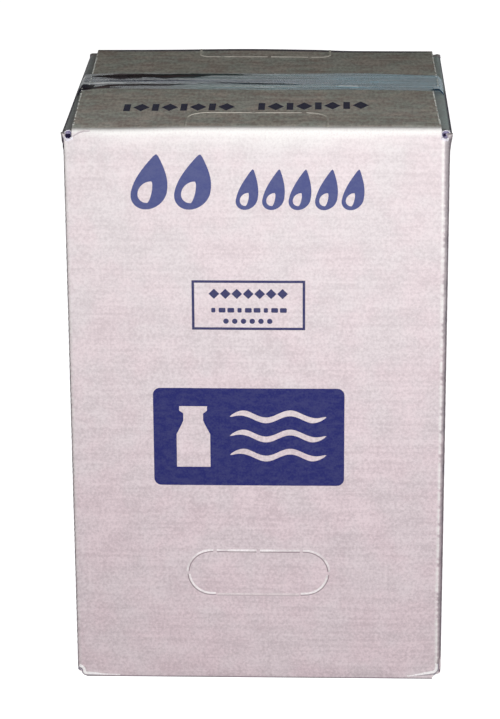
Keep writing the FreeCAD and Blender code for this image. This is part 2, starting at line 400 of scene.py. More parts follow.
def openFluteEdges(piece):
    # the cut sides of the outer flaps: two liners with the flutes between them
    def onCutSide(middle, normal):
        onFlap = middle.z > height - sheet["board"] or middle.z < sheet["board"]
        return abs(normal.x) > 0.9 and onFlap and abs(middle.x) > flapEdge - 5 * mm
    pick(piece, "FACE", onCutSide)
    bpy.ops.mesh.inset(thickness=panelValues["liner"], use_even_offset=True)
    extrudePicked(0, 0, 0)
    leaveEdit()
    for vertex in piece.data.vertices:
        if vertex.select:
            vertex.co.x -= panelValues["edgeDepth"] * (1 if vertex.co.x > 0 else -1)


def cutRows(piece):
    rows = panelValues["rows"]
    subdivideEdges(piece, rows - 1, lambda a, b: abs(a.z - b.z) > 0.1)
    subdivideEdges(piece, rows - 1, lambda a, b: abs(a.z - b.z) > 10 * mm)


def makeFacePanel(name, facing, topSeam, topSlip, baseSeam):
    values = panelValues
    face = facing * halfDepth
    piece = newPlane(name, (0, face, height / 2), (2 * flapEdge, height), (pi / 2, 0, 0))
    pick(piece, "EDGE", lambda a, b: edgeNear(a, b, 2, height))
    extrudePicked(topSlip, topSeam - face, 0)
    pick(piece, "EDGE", lambda a, b: edgeNear(a, b, 2, 0))
    extrudePicked(sheet["baseSlip"], baseSeam - face, 0)
    for level, radius in ((height, sheet["outerRadius"]), (0, sheet["baseRadius"])):
        pick(piece, "EDGE", lambda a, b: edgeNear(a, b, 2, level) and edgeNear(a, b, 1, face))
        bevelPicked(radius, values["foldSegments"])
    for level in (values["plain"], height - values["plain"]):
        cutThrough(piece, (0, 0, level), (0, 0, 1))
    subdivideEdges(piece, values["columns"] - 1, lambda a, b: abs(a.x - b.x) > 0.1)
    cutRows(piece)
    subdivideEdges(piece, values["flapRows"] - 1, lambda a, b: abs(a.y - b.y) > 50 * mm)
    # the outermost column is drawn in to a narrow rim along the cut sides
    inner = 1 - 2 / values["columns"]
    for vertex in piece.data.vertices:
        x, y, z = vertex.co
        lean = leanAt(y, z) if min(z, height - z) < 1 * mm else 0
        share = (x - lean) / flapEdge
        if abs(abs(share) - inner) < 0.4 / values["columns"]:
            vertex.co.x = lean + flapEdge * (1 - values["rim"] / flapEdge) * (1 if share > 0 else -1)
    def outwards(middle, normal):
        return normal.y * facing > 0 if near(middle.y, face) and abs(normal.y) > 0.9 else None
    turnOutwards(piece, outwards)
    pressRelief(piece)
    thicken(piece)
    openFluteEdges(piece)
    smoothByAngle(piece, 40)
    return piece


def pushFoldOut(piece, side):
    # the top folds of the side panels stand out, more towards the front
    values = panelValues
    for vertex in piece.data.vertices:
        x, y, z = vertex.co
        share = min(max(0.5 - y / (2 * halfDepth), 0), 1)
        drop = max(height - sheet["board"] - z, 0)
        amount = values["foldOut"] * share * exp(-((drop / values["foldOutReach"]) ** 2))
        vertex.co.x += side * amount * fade(abs(x) - flapEdge - 1.8 * mm, 3.4 * mm)


def shapeFootRims(piece, side):
    # the cut beside the base flaps is torn and closes towards the middle
    values = panelValues
    plain, flapStart = values["plain"], halfDepth - values["innerFlapStart"]
    for vertex in piece.data.vertices:
        x, y, z = vertex.co
        if plain - 0.1 * mm < z < plain + values["footReach"] and abs(y) > flapStart + 0.05 * mm:
            rise = (onFootRim(side, abs(x)) - plain) * fade(abs(y) - flapStart, 1.4 * mm)
            share = 1 - fade(z - plain, values["footReach"])
            vertex.co.z += rise * share
            if side > 0:
                vertex.co.x -= values["footDraw"] * share * share * fade(abs(x) - flapEdge - 1 * mm, 3 * mm)


def makeSidePanel(name, side):
    values = panelValues
    face = side * halfWidth
    lowEnd, highEnd = sheet["board"], height - sheet["board"]
    foldLow, foldHigh = values["plain"], height - values["plain"]
    flapStart = halfDepth - values["innerFlapStart"]
    piece = newPlane(name, (face, 0, height / 2), (highEnd - lowEnd, 2 * halfDepth), (0, pi / 2, 0))
    for end in (-1, 1):
        pick(piece, "EDGE", lambda a, b: edgeNear(a, b, 1, end * halfDepth))
        extrudePicked(-side * sheet["flapInset"], 0, 0)
    for end in (-1, 1):
        cutThrough(piece, (0, end * flapStart, 0), (0, 1, 0))
    for level in (foldLow, foldHigh):
        cutThrough(piece, (0, 0, level), (0, 0, 1))
    def beyond(middle, normal):
        return abs(middle.y) > flapStart and not foldLow < middle.z < foldHigh
    pick(piece, "FACE", beyond)
    bpy.ops.mesh.delete(type="FACE")
    # the inner flaps, their folds and the strips that reach under the outer flaps
    for level in (lowEnd, highEnd):
        pick(piece, "EDGE", lambda a, b: edgeNear(a, b, 2, level))
        extrudePicked(-side * values["innerFlap"], 0, 0)
    def onInnerFold(a, b):
        return edgeNear(a, b, 0, face) and (edgeNear(a, b, 2, lowEnd) or edgeNear(a, b, 2, highEnd))
    pick(piece, "EDGE", onInnerFold)
    bevelPicked(sheet["innerRadius"] - 0.02 * mm, 5)
    for end in (-1, 1):
        def onFlapEnd(a, b):
            return edgeNear(a, b, 1, end * flapStart) and max(abs(a.x), abs(b.x)) < halfWidth - 0.05 * mm
        pick(piece, "EDGE", onFlapEnd)
        longer = values["longerFlap"] if side < 0 < end else 0
        extrudePicked(0, end * values["innerFlapReach"] + longer, 0)
    def onUpright(a, b):
        corner = edgeNear(a, b, 0, face) and near(abs(a.y), halfDepth)
        return corner and near(a.y, b.y) and abs(a.z - b.z) > 0.1
    pick(piece, "EDGE", onUpright)
    bevelPicked(sheet["uprightRadius"][side], values["foldSegments"])
    # beside each slot the corner stands a little higher than the slot's end
    def besideSlot(a, b):
        outer = min(abs(a.x), abs(b.x)) > flapEdge + values["slotWidth"]
        sameEnd = a.y * b.y > 0 and min(abs(a.y), abs(b.y)) > flapStart - 0.1 * mm
        return edgeNear(a, b, 2, foldHigh) and outer and sameEnd
    pick(piece, "EDGE", besideSlot)
    extrudePicked(0, 0, values["slotRise"])
    def onFlatStrip(a, b):
        level = near(abs(a.y), halfDepth) and near(a.y, b.y) and near(a.z, b.z)
        return level and 1.2 * mm < abs(a.x - b.x) < 5 * mm
    subdivideEdges(piece, 3, onFlatStrip)
    subdivideEdges(piece, values["sideColumns"] - 1, lambda a, b: abs(a.y - b.y) > 0.1)
    cutRows(piece)
    subdivideEdges(piece, values["bow"], lambda a, b: abs(a.x - b.x) > 50 * mm)
    turnOutwards(piece, lambda middle, normal: normal.x * side > 0 if abs(normal.x) > 0.9 else None)
    shapeFootRims(piece, side)
    pressRelief(piece)
    pushFoldOut(piece, side)
    thicken(piece)
    smoothByAngle(piece, 40)
    return piece


# finishes, all on object coordinates


def startMaterial(name, roughness, specular):
    material = bpy.data.materials.new(name)
    material.use_nodes = True
    tree = material.node_tree
    tree.nodes.clear()
    out = tree.nodes.new("ShaderNodeOutputMaterial")
    shader = tree.nodes.new("ShaderNodeBsdfPrincipled")
    tree.links.new(shader.outputs["BSDF"], out.inputs["Surface"])
    shader.inputs["Roughness"].default_value = roughness
    shader.inputs["Specular IOR Level"].default_value = specular
    return material, tree, shader


def addNoise(tree, scale, detail, stretch=(1, 1, 1), rough=0.55):
    where = tree.nodes.new("ShaderNodeTexCoord")
    mapping = tree.nodes.new("ShaderNodeMapping")
    mapping.inputs["Scale"].default_value = stretch
    texture = tree.nodes.new("ShaderNodeTexNoise")
    texture.inputs["Scale"].default_value = scale
    texture.inputs["Detail"].default_value = detail
    texture.inputs["Roughness"].default_value = rough
    tree.links.new(where.outputs["Object"], mapping.inputs["Vector"])
    tree.links.new(mapping.outputs["Vector"], texture.inputs["Vector"])
    return texture.outputs["Fac"]


def addMath(tree, kind, first, second):
    node = tree.nodes.new("ShaderNodeMath")
    node.operation = kind
    for socket, value in zip(node.inputs, (first, second)):
        if isinstance(value, (int, float)):
            socket.default_value = value
        else:
            tree.links.new(value, socket)
    return node.outputs[0]


def addRamp(tree, value, stops):
    ramp = tree.nodes.new("ShaderNodeValToRGB")
    while len(ramp.color_ramp.elements) < len(stops):
        ramp.color_ramp.elements.new(0.5)
    for element, (place, colour) in zip(ramp.color_ramp.elements, stops):
        element.position = place
        element.color = (*colour, 1)
    tree.links.new(value, ramp.inputs["Fac"])
    return ramp.outputs["Color"]


def addMix(tree, kind, share, first, second):
    node = tree.nodes.new("ShaderNodeMix")
    node.data_type = "RGBA"
    node.blend_type = kind
    for name, value in (("Factor", share), ("A", first), ("B", second)):
        socket = [s for s in node.inputs if s.name == name and s.enabled][0]
        if isinstance(value, (int, float)):
            socket.default_value = value
        elif isinstance(value, tuple):
            socket.default_value = (*value, 1)
        else:
            tree.links.new(value, socket)
    return [s for s in node.outputs if s.enabled][0]


def addBump(tree, shader, value, strength, distance):
    bump = tree.nodes.new("ShaderNodeBump")
    bump.inputs["Strength"].default_value = strength
    bump.inputs["Distance"].default_value = distance
    tree.links.new(value, bump.inputs["Height"])
    tree.links.new(bump.outputs["Normal"], shader.inputs["Normal"])


def readAttribute(tree, name):
    node = tree.nodes.new("ShaderNodeAttribute")
    node.attribute_name = name
    return node


boardLook = {
    "paleHigh": (0.8, 0.727, 0.744),  # upper part of the carton
    "dullHigh": (0.67, 0.597, 0.615),
    "paleLow": (0.755, 0.648, 0.682),
    "dullLow": (0.59, 0.49, 0.524),
    # painted highlight colour, partly pale wear, and painted shade colour
    "wearAndHighlight": (0.93, 0.915, 0.9),
    "paintedShade": (0.07, 0.06, 0.085),
    "blotchScale": 62,
    "speckScale": 480,
    "grainScale": 760,
    "streakScale": 60,
    "cloudScale": 34,
    "hueScale": 45,
    "dentScale": 130,
    # shares of the grain, the blotches, the specks and the streaks in the mottle, and where it turns pale
    "mottle": (0.2, 0.2, 0.42, 0.18),
    "mottleFrom": 0.42,
    "mottleTo": 0.57,
    "clouds": [(0.4, (1.01, 0.985, 0.995)), (0.6, (0.985, 1.0, 1.0))],
    # levels between which the lower tones change into the upper ones: painted falloff of the light, darker
    # and pinker towards the bottom
    "lowTo": 120 * mm,
    "highFrom": 380 * mm,
    "topMarks": [(0.4, (0.72, 0.69, 0.62)), (0.5, (0.86, 0.91, 0.82)), (0.6, (1.06, 1.12, 1.01))],
    "topHues": [(0.42, (1.03, 0.985, 0.965)), (0.58, (0.97, 1.01, 1.0))],
    # the top is painted lighter at the front than at the back, as a falloff of the light
    "topFront": 1.2,
    "topBack": 0.98,
    "strip": (0.94, 1.08, 1.1),
    "rightStrip": (1.09, 1.18, 1.13),
    "roughness": 0.78,
}


def mapRange(tree, value, start, end, low=0, high=1):
    node = tree.nodes.new("ShaderNodeMapRange")
    for name, number in (("From Min", start), ("From Max", end), ("To Min", low), ("To Max", high)):
        node.inputs[name].default_value = number
    tree.links.new(value, node.inputs["Value"])
    return node.outputs["Result"]


def clampShare(share):
    share.node.use_clamp = True
    return share


def boardMaterial(name):
    look = boardLook
    material, tree, shader = startMaterial(name, look["roughness"], 0.05)
    grain = addNoise(tree, look["grainScale"], 3, rough=0.7)
    blotch = addNoise(tree, look["blotchScale"], 4)
    speck = addNoise(tree, look["speckScale"], 3, rough=0.65)
    streak = addNoise(tree, look["streakScale"], 3, stretch=(0.25, 0.25, 7))
    mottle = addMath(tree, "MULTIPLY", grain, look["mottle"][0])
    for part, share in zip((blotch, speck, streak), look["mottle"][1:]):
        mottle = addMath(tree, "ADD", mottle, addMath(tree, "MULTIPLY", part, share))
    start, end = look["mottleFrom"], look["mottleTo"]
    lowTone = addRamp(tree, mottle, [(start, look["dullLow"]), (end, look["paleLow"])])
    highTone = addRamp(tree, mottle, [(start, look["dullHigh"]), (end, look["paleHigh"])])
    # greyer clouds over the pink
    cloud = addRamp(tree, addNoise(tree, look["cloudScale"], 3), look["clouds"])
    where = tree.nodes.new("ShaderNodeTexCoord")
    parts = tree.nodes.new("ShaderNodeSeparateXYZ")
    tree.links.new(where.outputs["Object"], parts.inputs["Vector"])
    # painted falloff of the light: darker and pinker towards the bottom
    level = mapRange(tree, parts.outputs["Z"], look["lowTo"], look["highFrom"])
    colour = addMix(tree, "MIX", level, lowTone, highTone)
    colour = addMix(tree, "MULTIPLY", 1, colour, cloud)
    # the top is greyer, with short marks that run along the flaps, and is painted lighter at the front and
    # darker at the back as a falloff of the light
    flecks = addNoise(tree, 420, 2, stretch=(1, 0.4, 1))
    lines = addNoise(tree, 120, 3, stretch=(0.4, 1, 1))
    halves = [addMath(tree, "MULTIPLY", part, 0.5) for part in (flecks, lines)]
    marks = addRamp(tree, addMath(tree, "ADD", *halves), look["topMarks"])
    hue = addRamp(tree, addNoise(tree, look["hueScale"], 3), look["topHues"])
    marks = addMix(tree, "MULTIPLY", 1, marks, hue)
    front, back = look["topFront"], look["topBack"]
    paintedFalloff = mapRange(tree, parts.outputs["Y"], -halfDepth, halfDepth, front, back)
    marks = addMix(tree, "MULTIPLY", 1, marks, paintedFalloff)
    topTone = readAttribute(tree, "topTone").outputs["Fac"]
    offTop = addMath(tree, "MULTIPLY", topTone, -1)
    onTop = clampShare(addMath(tree, "MULTIPLY", topTone, 1))
    onStrip = clampShare(addMath(tree, "MULTIPLY", topTone, -1))
    onRight = clampShare(addMath(tree, "SUBTRACT", offTop, 1))
    for share, tone in ((onTop, marks), (onStrip, look["strip"]), (onRight, look["rightStrip"])):
        colour = addMix(tree, "MULTIPLY", share, colour, tone)
    # painted highlights, partly pale wear, where the attribute is above zero, and painted shade where it is
    # below
    paintedLightAndWear = readAttribute(tree, "paintedLightAndWear").outputs["Fac"]
    patchy = addRamp(tree, grain, [(0.3, (0.55, 0.55, 0.55)), (0.55, (1, 1, 1))])
    wearAndHighlight = clampShare(addMath(tree, "MULTIPLY", paintedLightAndWear, patchy))
    paintedShade = clampShare(addMath(tree, "MULTIPLY", paintedLightAndWear, -1))
    colour = addMix(tree, "MIX", wearAndHighlight, colour, look["wearAndHighlight"])
    colour = addMix(tree, "MIX", paintedShade, colour, look["paintedShade"])
    tree.links.new(colour, shader.inputs["Base Color"])
    # fibres and faint dents, which show in raking light
    dents = addNoise(tree, look["dentScale"], 3, stretch=(0.3, 1, 1))
    fibres = addMath(tree, "MULTIPLY", grain, 0.15)
    addBump(tree, shader, addMath(tree, "ADD", fibres, dents), 0.55, 0.45 * mm)
    return material


def plainMaterial(name, colour, roughness):
    material, tree, shader = startMaterial(name, roughness, 0.25)
    grain = addNoise(tree, 500, 3)
    darker = tuple(channel * 0.8 for channel in colour)
    tree.links.new(addRamp(tree, grain, [(0.35, darker), (0.65, colour)]), shader.inputs["Base Color"])
    return material


def inkMaterial(name, colour):
    material, tree, shader = startMaterial(name, 0.7, 0.04)
    grain = addNoise(tree, 700, 3, rough=0.7)
    blotch = addNoise(tree, 260, 3, stretch=(0.7, 0.7, 1.3))
    laid = addMath(tree, "MULTIPLY", grain, blotch)
    thin = tuple(0.95 * channel + 0.024 for channel in colour)
    tree.links.new(addRamp(tree, laid, [(0.16, thin), (0.34, colour)]), shader.inputs["Base Color"])
    addBump(tree, shader, grain, 0.15, 0.1 * mm)
    return material


def finish(piece, materials, slot, *nodes):
    for material in materials:
        piece.data.materials.append(material)
    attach(piece, "root")
    if nodes:
        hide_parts(*nodes)


# camera

cameraValues = {
    "place": (0.0550, -1.9514, 0.9017),
    "turn": radians(1.868),
    "down": radians(19.801),
    "tilt": radians(-0.337),
    "lens": 144.52,
}


def makeCamera():
    values = cameraValues
    camera = bpy.data.objects.new("camera", bpy.data.cameras.new("camera"))
    bpy.context.collection.objects.link(camera)
    turn = Matrix.Rotation(values["turn"], 3, "Z") @ Matrix.Rotation(pi / 2 - values["down"], 3, "X")
    turn = turn @ Matrix.Rotation(values["tilt"], 3, "Z")
    camera.location = values["place"]
    camera.rotation_euler = turn.to_euler()
    camera.data.lens = values["lens"]
    camera.data.sensor_width = 36
    camera.data.clip_end = 30
    bpy.context.scene.camera = camera


makeCamera()
print("camera placed")


# where the surface is painted pale as highlights and some pale wear, and painted dark as shade: folds, cut
# edges and slots

lightAndWearValues = {
    "pale": 0.95,
    "foldTall": 24 * mm,
    "foldDeep": 5.5 * mm,
    # the painted highlight band over a top fold, partly pale worn liner: how far down it reaches at the
    # corners and how much more in the middle
    "band": 1.6 * mm,
    "bandMiddle": 3 * mm,
    "bandBlend": 1.6 * mm,
    "middleFrom": 10 * mm,
    "middleOver": 45 * mm,
    "overFold": 2.8 * mm,
    "overBlend": 3.2 * mm,
    "belowFold": 19 * mm,
    "belowPale": 0.85,
    "belowPatch": 26 * mm,
    "backLine": 6.5 * mm,  # the back fold is painted with shade this far onto the flap
    "backBlend": 4 * mm,
    "sideLine": 4.6 * mm,
    "sideWidth": 3.5 * mm,
    "footCorner": 26 * mm,
    "footLip": 3.4 * mm,
    "footLipWidth": 1.5 * mm,
    "footPale": 0.8,
    "footDark": 0.7,
    "cutSide": 0.75,
    "endDark": 0.75,
    # the painted highlight on the line of crushed flutes beside the left and right upright folds: its
    # strength, and where it runs
    "teeth": {-1: 0.5, 1: 1.15},
    "line": {-1: 1.6 * mm, 1: 4.9 * mm},
    "lineWidth": 1 * mm,
    # how dark the fold is painted with shade as it turns away, as (turn where it starts, over how many
    # degrees, share) in two steps
    "paintedShade": {-1: ((44, 10, 0.95), (70, 10, 0.05)), 1: ((0, 16, 0.46), (44, 14, 0.34))},
}


def topFoldHighlightAndWear(x, z, fromTop, fromFace):
    # a painted highlight band over the fold, partly pale worn liner, and paler board below its middle
    values = lightAndWearValues
    middle = fade(halfWidth - abs(x) - values["middleFrom"], values["middleOver"])
    drop = values["band"] + values["bandMiddle"] * middle
    band = 1 - fade(fromTop - drop, values["bandBlend"])
    pale = values["pale"] * band * (1 - fade(fromFace - values["overFold"], values["overBlend"]))
    if fromFace < 2 * mm:
        patch = 0.75 + 0.6 * noise.noise(Vector((x, 0, z * 2)) / values["belowPatch"])
        pale = max(pale, values["belowPale"] * patch * middle * (1 - fade(fromTop, values["belowFold"])))
    return pale


def uprightHighlightAndShade(x, z, fromFace, teeth):
    # the painted highlight on the crushed flutes beside an upright fold, and the painted shade where the fold
    # turns away
    values = lightAndWearValues
    side = 1 if x > 0 else -1
    radius = sheet["uprightRadius"][side]
    line = values["line"][side]
    if side > 0:
        line -= reliefValues["bulgeSide"] * max(1 - bulgeLevel(z) ** 2, 0)
        line -= (1 - fade(z - 10 * mm, 60 * mm)) * mm
    beside = exp(-(((halfWidth - abs(x) - line) / values["lineWidth"]) ** 2))
    broken = 0.72 + 0.8 * noise.noise(Vector((side, 0, z)) / (4.5 * mm))
    pale = values["teeth"][side] * beside * (0.35 * teeth * teeth + 0.65 * broken)
    dark = 0
    turned = degrees(asin(min(max((abs(x) - halfWidth + radius) / radius, 0), 1)))
    back = fade(fromFace - 0.55 * radius, 0.45 * radius)
    for start, over, share in values["paintedShade"][side]:
        uneven = 1 + 0.45 * noise.noise(Vector((side, start, z)) / (11 * mm))
        dark += share * uneven * fade(turned - start, over) * (1 - back)
    return pale, dark


def lightAndWearAt(place):
    # above zero the board is painted pale, as highlights and some pale wear; below zero it is painted with
    # shade
    values = lightAndWearValues
    x, y, z = place
    pale = dark = 0
    fromTop, toEnd = height - z, min(height - z, z)
    fromFace, fromSide = halfDepth - abs(y), halfWidth - abs(x)
    fromCut = flapEdge - abs(x - leanAt(y, z)) if toEnd < 1 * mm else flapEdge - abs(x)
    if fromTop < values["foldTall"] and fromFace < values["foldDeep"] and fromCut > -1 * mm:
        pale = topFoldHighlightAndWear(x, z, fromTop, fromFace)
    # painted shade along the back fold
    if y > 0 and fromTop < 3 * mm and fromFace < 14 * mm:
        pale = 0
        dark = fade(fromCut, 3 * mm) * (1 - fade(fromFace - values["backLine"], values["backBlend"]))
    # the side panels' own folds, painted as a dark outline of shade
    if fromTop < 14 * mm and fromFace > 4 * mm and fromSide < 0.4 * mm:
        dark = max(dark, exp(-(((fromTop - values["sideLine"]) / values["sideWidth"]) ** 2)))
    # a painted highlight on the lip at the lower corners, and painted shade along the very bottom
    if z < 9 * mm and fromFace < 3 * mm:
        corner = 1 - fade(fromSide - 6 * mm, values["footCorner"])
        lip = exp(-(((z - values["footLip"]) / values["footLipWidth"]) ** 2))
        pale = max(pale, values["footPale"] * corner * lip)
        dark = max(dark, values["footDark"] * (1 - fade(z - 0.6 * mm, 1.6 * mm)))
    teeth = 0.5 + 0.5 * cos(4 * pi * (z if toEnd > 5 * mm else y) / sheet["flutePitch"])
    if toEnd < 1 * mm and fromCut < 0.6 * mm and fromFace > 4 * mm:
        pale = max(pale, values["cutSide"] * (0.35 + 0.65 * teeth))
    # the upright folds' painted highlights and painted shade
    if toEnd > 5 * mm and fromFace < sheet["uprightRadius"][1 if x > 0 else -1] and fromSide < 9 * mm:
        wearAndHighlight, paintedShade = uprightHighlightAndShade(x, z, fromFace, teeth)
        pale = max(pale, wearAndHighlight)
        dark += paintedShade
    # painted shade at the ends of the upright folds
    if toEnd < 5.5 * mm and fromSide < 2.4 * mm:
        dark = max(dark, values["endDark"] * fade(toEnd - 3.2 * mm, 0.9 * mm))
    return pale - dark if dark > pale else min(pale, 1)


def topToneAt(place):
    # 1 on the top flaps, -1 and -2 on the strips of the left and right folds beside them, else 0
    x, y, z = place
    drop, fromFace = height - z, halfDepth - abs(y)
    if drop < 1.2 * mm and fromFace > 4 * mm:
        return 1
    if 2 * mm < drop < 7.5 * mm and abs(x) > flapEdge + 0.4 * mm and fromFace > 6 * mm:
        return -2 if x > 0 else -1
    return 0


def setLightAndWear(piece):
    # painted highlights and painted shade, with some pale wear, and the top's tone
    paintedLightAndWear = piece.data.attributes.new("paintedLightAndWear", "FLOAT", "POINT")
    tone = piece.data.attributes.new("topTone", "FLOAT", "POINT")
    for vertex in piece.data.vertices:
        paintedLightAndWear.data[vertex.index].value = lightAndWearAt(vertex.co)
        tone.data[vertex.index].value = topToneAt(vertex.co)


seam, halfGap = sheet["seam"], sheet["seamGap"] / 2
frontPanel = makeFacePanel("frontPanel", -1, seam - halfGap, sheet["frontSlip"], -halfGap)
backPanel = makeFacePanel("backPanel", 1, seam + halfGap, sheet["backSlip"], halfGap)
leftPanel = makeSidePanel("leftPanel", -1)
rightPanel = makeSidePanel("rightPanel", 1)
board = boardMaterial("printedBoard")
for panel in (frontPanel, backPanel, leftPanel, rightPanel):
    setLightAndWear(panel)
    finish(panel, [board], "board", "carton")
    print(panel.name, len(panel.data.polygons), "faces")
print("panels folded")


# the flutes between the liners, seen at the outer flaps' cut sides

fluteValues = {"depth": 2.9 * mm, "swing": 1.02 * mm, "paper": 0.28 * mm, "start": 4.6 * mm, "steps": 8}


def makeFlute():
    values = fluteValues
    start, end = values["start"], halfDepth - sheet["outerRadius"] - 1 * mm
    piece = newPlane("flute", (-values["depth"] / 2, (start + end) / 2, 0), (values["depth"], end - start))
    steps = int((end - start) / sheet["flutePitch"] * values["steps"])
    subdivideEdges(piece, min(steps, 100) - 1, lambda a, b: abs(a.y - b.y) > 10 * mm)
    for vertex in piece.data.vertices:
        vertex.co.z = values["swing"] * cos(2 * pi * vertex.co.y / sheet["flutePitch"])
    paper = piece.modifiers.new("paper", "SOLIDIFY")
    paper.thickness = values["paper"]
    paper.offset = 0
    applyModifier(piece, paper)
    smoothByAngle(piece, 50)
    return piece


def placeFlutes():
    flute = makeFlute()
    innerPaper = plainMaterial("innerPaper", (0.5, 0.42, 0.37), 0.9)
    flutes = []
    for facing, up, side in product((-1, 1), repeat=3):
        middle = height - sheet["thickness"] / 2 if up > 0 else sheet["thickness"] / 2
        copied = copyPiece(flute, "flute")
        for vertex in copied.data.vertices:
            x, y, z = vertex.co
            # the front flap's lean holds up to the seam, which lies a little behind the middle
            lean = leanAt(facing * max(y, sheet["seam"] + 0.1 * mm), middle)
            arch = foldLift(Vector((side * flapEdge, facing * y, height))) if up > 0 else 0
            vertex.co = (side * (flapEdge + x) + lean, facing * y, middle + z + arch)
        flutes.append(copied)
    whole = joinPieces(flutes, "flutes")
    faceOutwards(whole)
    bpy.data.objects.remove(flute)
    finish(whole, [innerPaper], "board")
    return whole


flutes = placeFlutes()
print("flutes laid,", len(flutes.data.polygons), "faces")


# pale crushed ends of the flutes along the flaps' cut sides

nubValues = {
    "across": 1.3 * mm,
    "along": 2.5 * mm,
    "rise": 0.5 * mm,
    "inset": 0.45 * mm,
    "start": 6 * mm,
    "end": 105 * mm,
    "missing": -0.22,  # below this chance an end isn't crushed
    "size": 0.85,
    "uneven": 0.5,
}


def placeNubs():
    values = nubValues
    clearSelection()
    bpy.ops.mesh.primitive_uv_sphere_add(segments=10, ring_count=8, radius=0.5, location=(0, 0, 0))
    nub = nameNew("nub")
    nub.scale = (values["across"], values["along"], 2 * values["rise"])
    applyAll(nub)
    pickFaces(nub)
    bpy.ops.mesh.bisect(plane_co=(0, 0, -0.05 * mm), plane_no=(0, 0, 1), clear_inner=True, use_fill=True)
    leaveEdit()
    step = sheet["flutePitch"] / 2
    count = int((values["end"] - values["start"]) / step)
    nubs = []
    for up, facing, side, index in product((-1, 1), (-1, 1), (-1, 1), range(count)):
        chance = noise.noise(Vector((side * 3.3 + facing, index * 0.77, up * 5.1)))
        if chance < values["missing"]:
            continue
        size = values["size"] + values["uneven"] * chance
        level = height if up > 0 else 0
        y = facing * (values["start"] + index * step)
        x = side * (flapEdge - values["inset"]) + leanAt(y, level)
        ground = relief(Vector((x, y, level)), Vector((0, 0, up)))
        ground += foldLift(Vector((side * flapEdge, y, height))) if up > 0 else 0
        copied = copyPiece(nub, "nub")
        for vertex in copied.data.vertices:
            across, along, rise = vertex.co * size
            vertex.co = (x + across, y + along, level + up * (rise + ground))
        nubs.append(copied)
    whole = joinPieces(nubs, "crushedFlutes")
    bpy.data.objects.remove(nub)
    faceOutwards(whole)
    smoothByAngle(whole, 60)
    finish(whole, [plainMaterial("crushedPaper", (0.86, 0.88, 0.84), 0.9)], "board")
    print("crushedFlutes", len(whole.data.polygons), "faces")


placeNubs()


# shapes drawn flat and then laid on a panel or a flap

def layOn(piece, panel):
    for vertex in piece.data.vertices:
        x, y, lift = vertex.co
        if panel == "front":
            place, normal = Vector((x, -halfDepth, y)), Vector((0, -1, 0))
        elif panel == "left":
            place, normal = Vector((-halfWidth, -x, y)), Vector((-1, 0, 0))
        else:
            place, normal = Vector((x, y, height)), Vector((0, 0, 1))
        arch = foldLift(place) if panel == "top" else 0
        vertex.co = place + normal * (relief(place, normal) + lift + arch)


def gridCuts(piece, stepX, stepY):
    xs = [vertex.co.x for vertex in piece.data.vertices]
    ys = [vertex.co.y for vertex in piece.data.vertices]
    for values, step, normal in ((xs, stepX, (1, 0, 0)), (ys, stepY, (0, 1, 0))):
        count = int((max(values) - min(values)) / step) + 1
        for index in range(1, count):
            level = min(values) + (max(values) - min(values)) * index / count
            place = tuple(level * part for part in normal)
            cutThrough(piece, place, normal)


def flatRectangle(name, x, y, width, tall, radius=0, turn=0):
    piece = newPlane(name, (0, 0, 0), (width, tall))
    if radius:
        pick(piece, "VERT", lambda place: True)
        bevelPicked(radius, 6, "VERTICES")
    piece.rotation_euler.z = turn
    piece.location = (x, y, 0)
    applyAll(piece)
    return piece


def flatDisc(name, x, y, width, tall, corners=40):
    clearSelection()
    bpy.ops.mesh.primitive_circle_add(vertices=corners, radius=0.5, fill_type="NGON", location=(0, 0, 0))
    piece = nameNew(name)
    piece.scale = (width, tall, 1)
    piece.location = (x, y, 0)
    applyAll(piece)
    return piece


printLook = {
    "lift": 0.07 * mm,
    "bareLift": 0.1 * mm,
    "rise": 2.15 * mm,  # height of the strips that the print is cut into
    "titleInk": (0.083, 0.096, 0.245),
    "fieldInk": (0.026, 0.029, 0.148),
    "lineInk": (0.05, 0.05, 0.135),
    "flapInk": (0.018, 0.017, 0.045),
}
titleInk = inkMaterial("titleBlue", printLook["titleInk"])
fieldInk = inkMaterial("fieldNavy", printLook["fieldInk"])
lineInk = inkMaterial("lineNavy", printLook["lineInk"])
flapInk = inkMaterial("flapNavy", printLook["flapInk"])


def layPrint(name, parts, panel, ink, wide=12 * mm):
    # ink lies on the board, and bare board shown within it a little higher
    piece = joinPieces(parts, name) if len(parts) > 1 else parts[0]
    gridCuts(piece, wide, printLook["rise"])
    for vertex in piece.data.vertices:
        vertex.co.z = printLook["bareLift" if ink is board else "lift"]
    layOn(piece, panel)
    finish(piece, [ink], "board")


titleValues = {
    "foot": 345 * mm,
    # each group of drops: first place, step, how many, width and height
    "groups": ((-74 * mm, 29 * mm, 2, 24 * mm, 38 * mm), (-8 * mm, 17.6 * mm, 5, 14.5 * mm, 28 * mm)),
    "slant": 0.2,
    "narrow": 0.62,
    "hollow": 0.62,
    "crescent": 0.75,
}


def drawDrop(x, width, tall):
    # a disc drawn up to a point and leant over, with a bare crescent inside
    values = titleValues
    inner = width * values["hollow"] / 2
    drop = flatDisc("titleDrop", 0, 0, width, width, corners=48)
    hollow = flatDisc("titleCrescent", 0, 0, 2 * inner, 2 * inner, corners=40)
    for vertex in drop.data.vertices:
        up = vertex.co.y / (width / 2)
        if up > 0:
            vertex.co.x *= 1 - values["narrow"] * up * up
            vertex.co.y = up * (tall - width / 2)
    for vertex in hollow.data.vertices:
        across, up = vertex.co.x / inner, vertex.co.y / inner
        if across > 0:
            bend = values["crescent"] * sqrt(max(1 - up * up, 0))
            vertex.co.x = inner * (across - bend)
    for shape in (drop, hollow):
        for vertex in shape.data.vertices:
            vertex.co.y += width / 2
            vertex.co.x += values["slant"] * vertex.co.y + x
            vertex.co.y += values["foot"]
    return drop, hollow


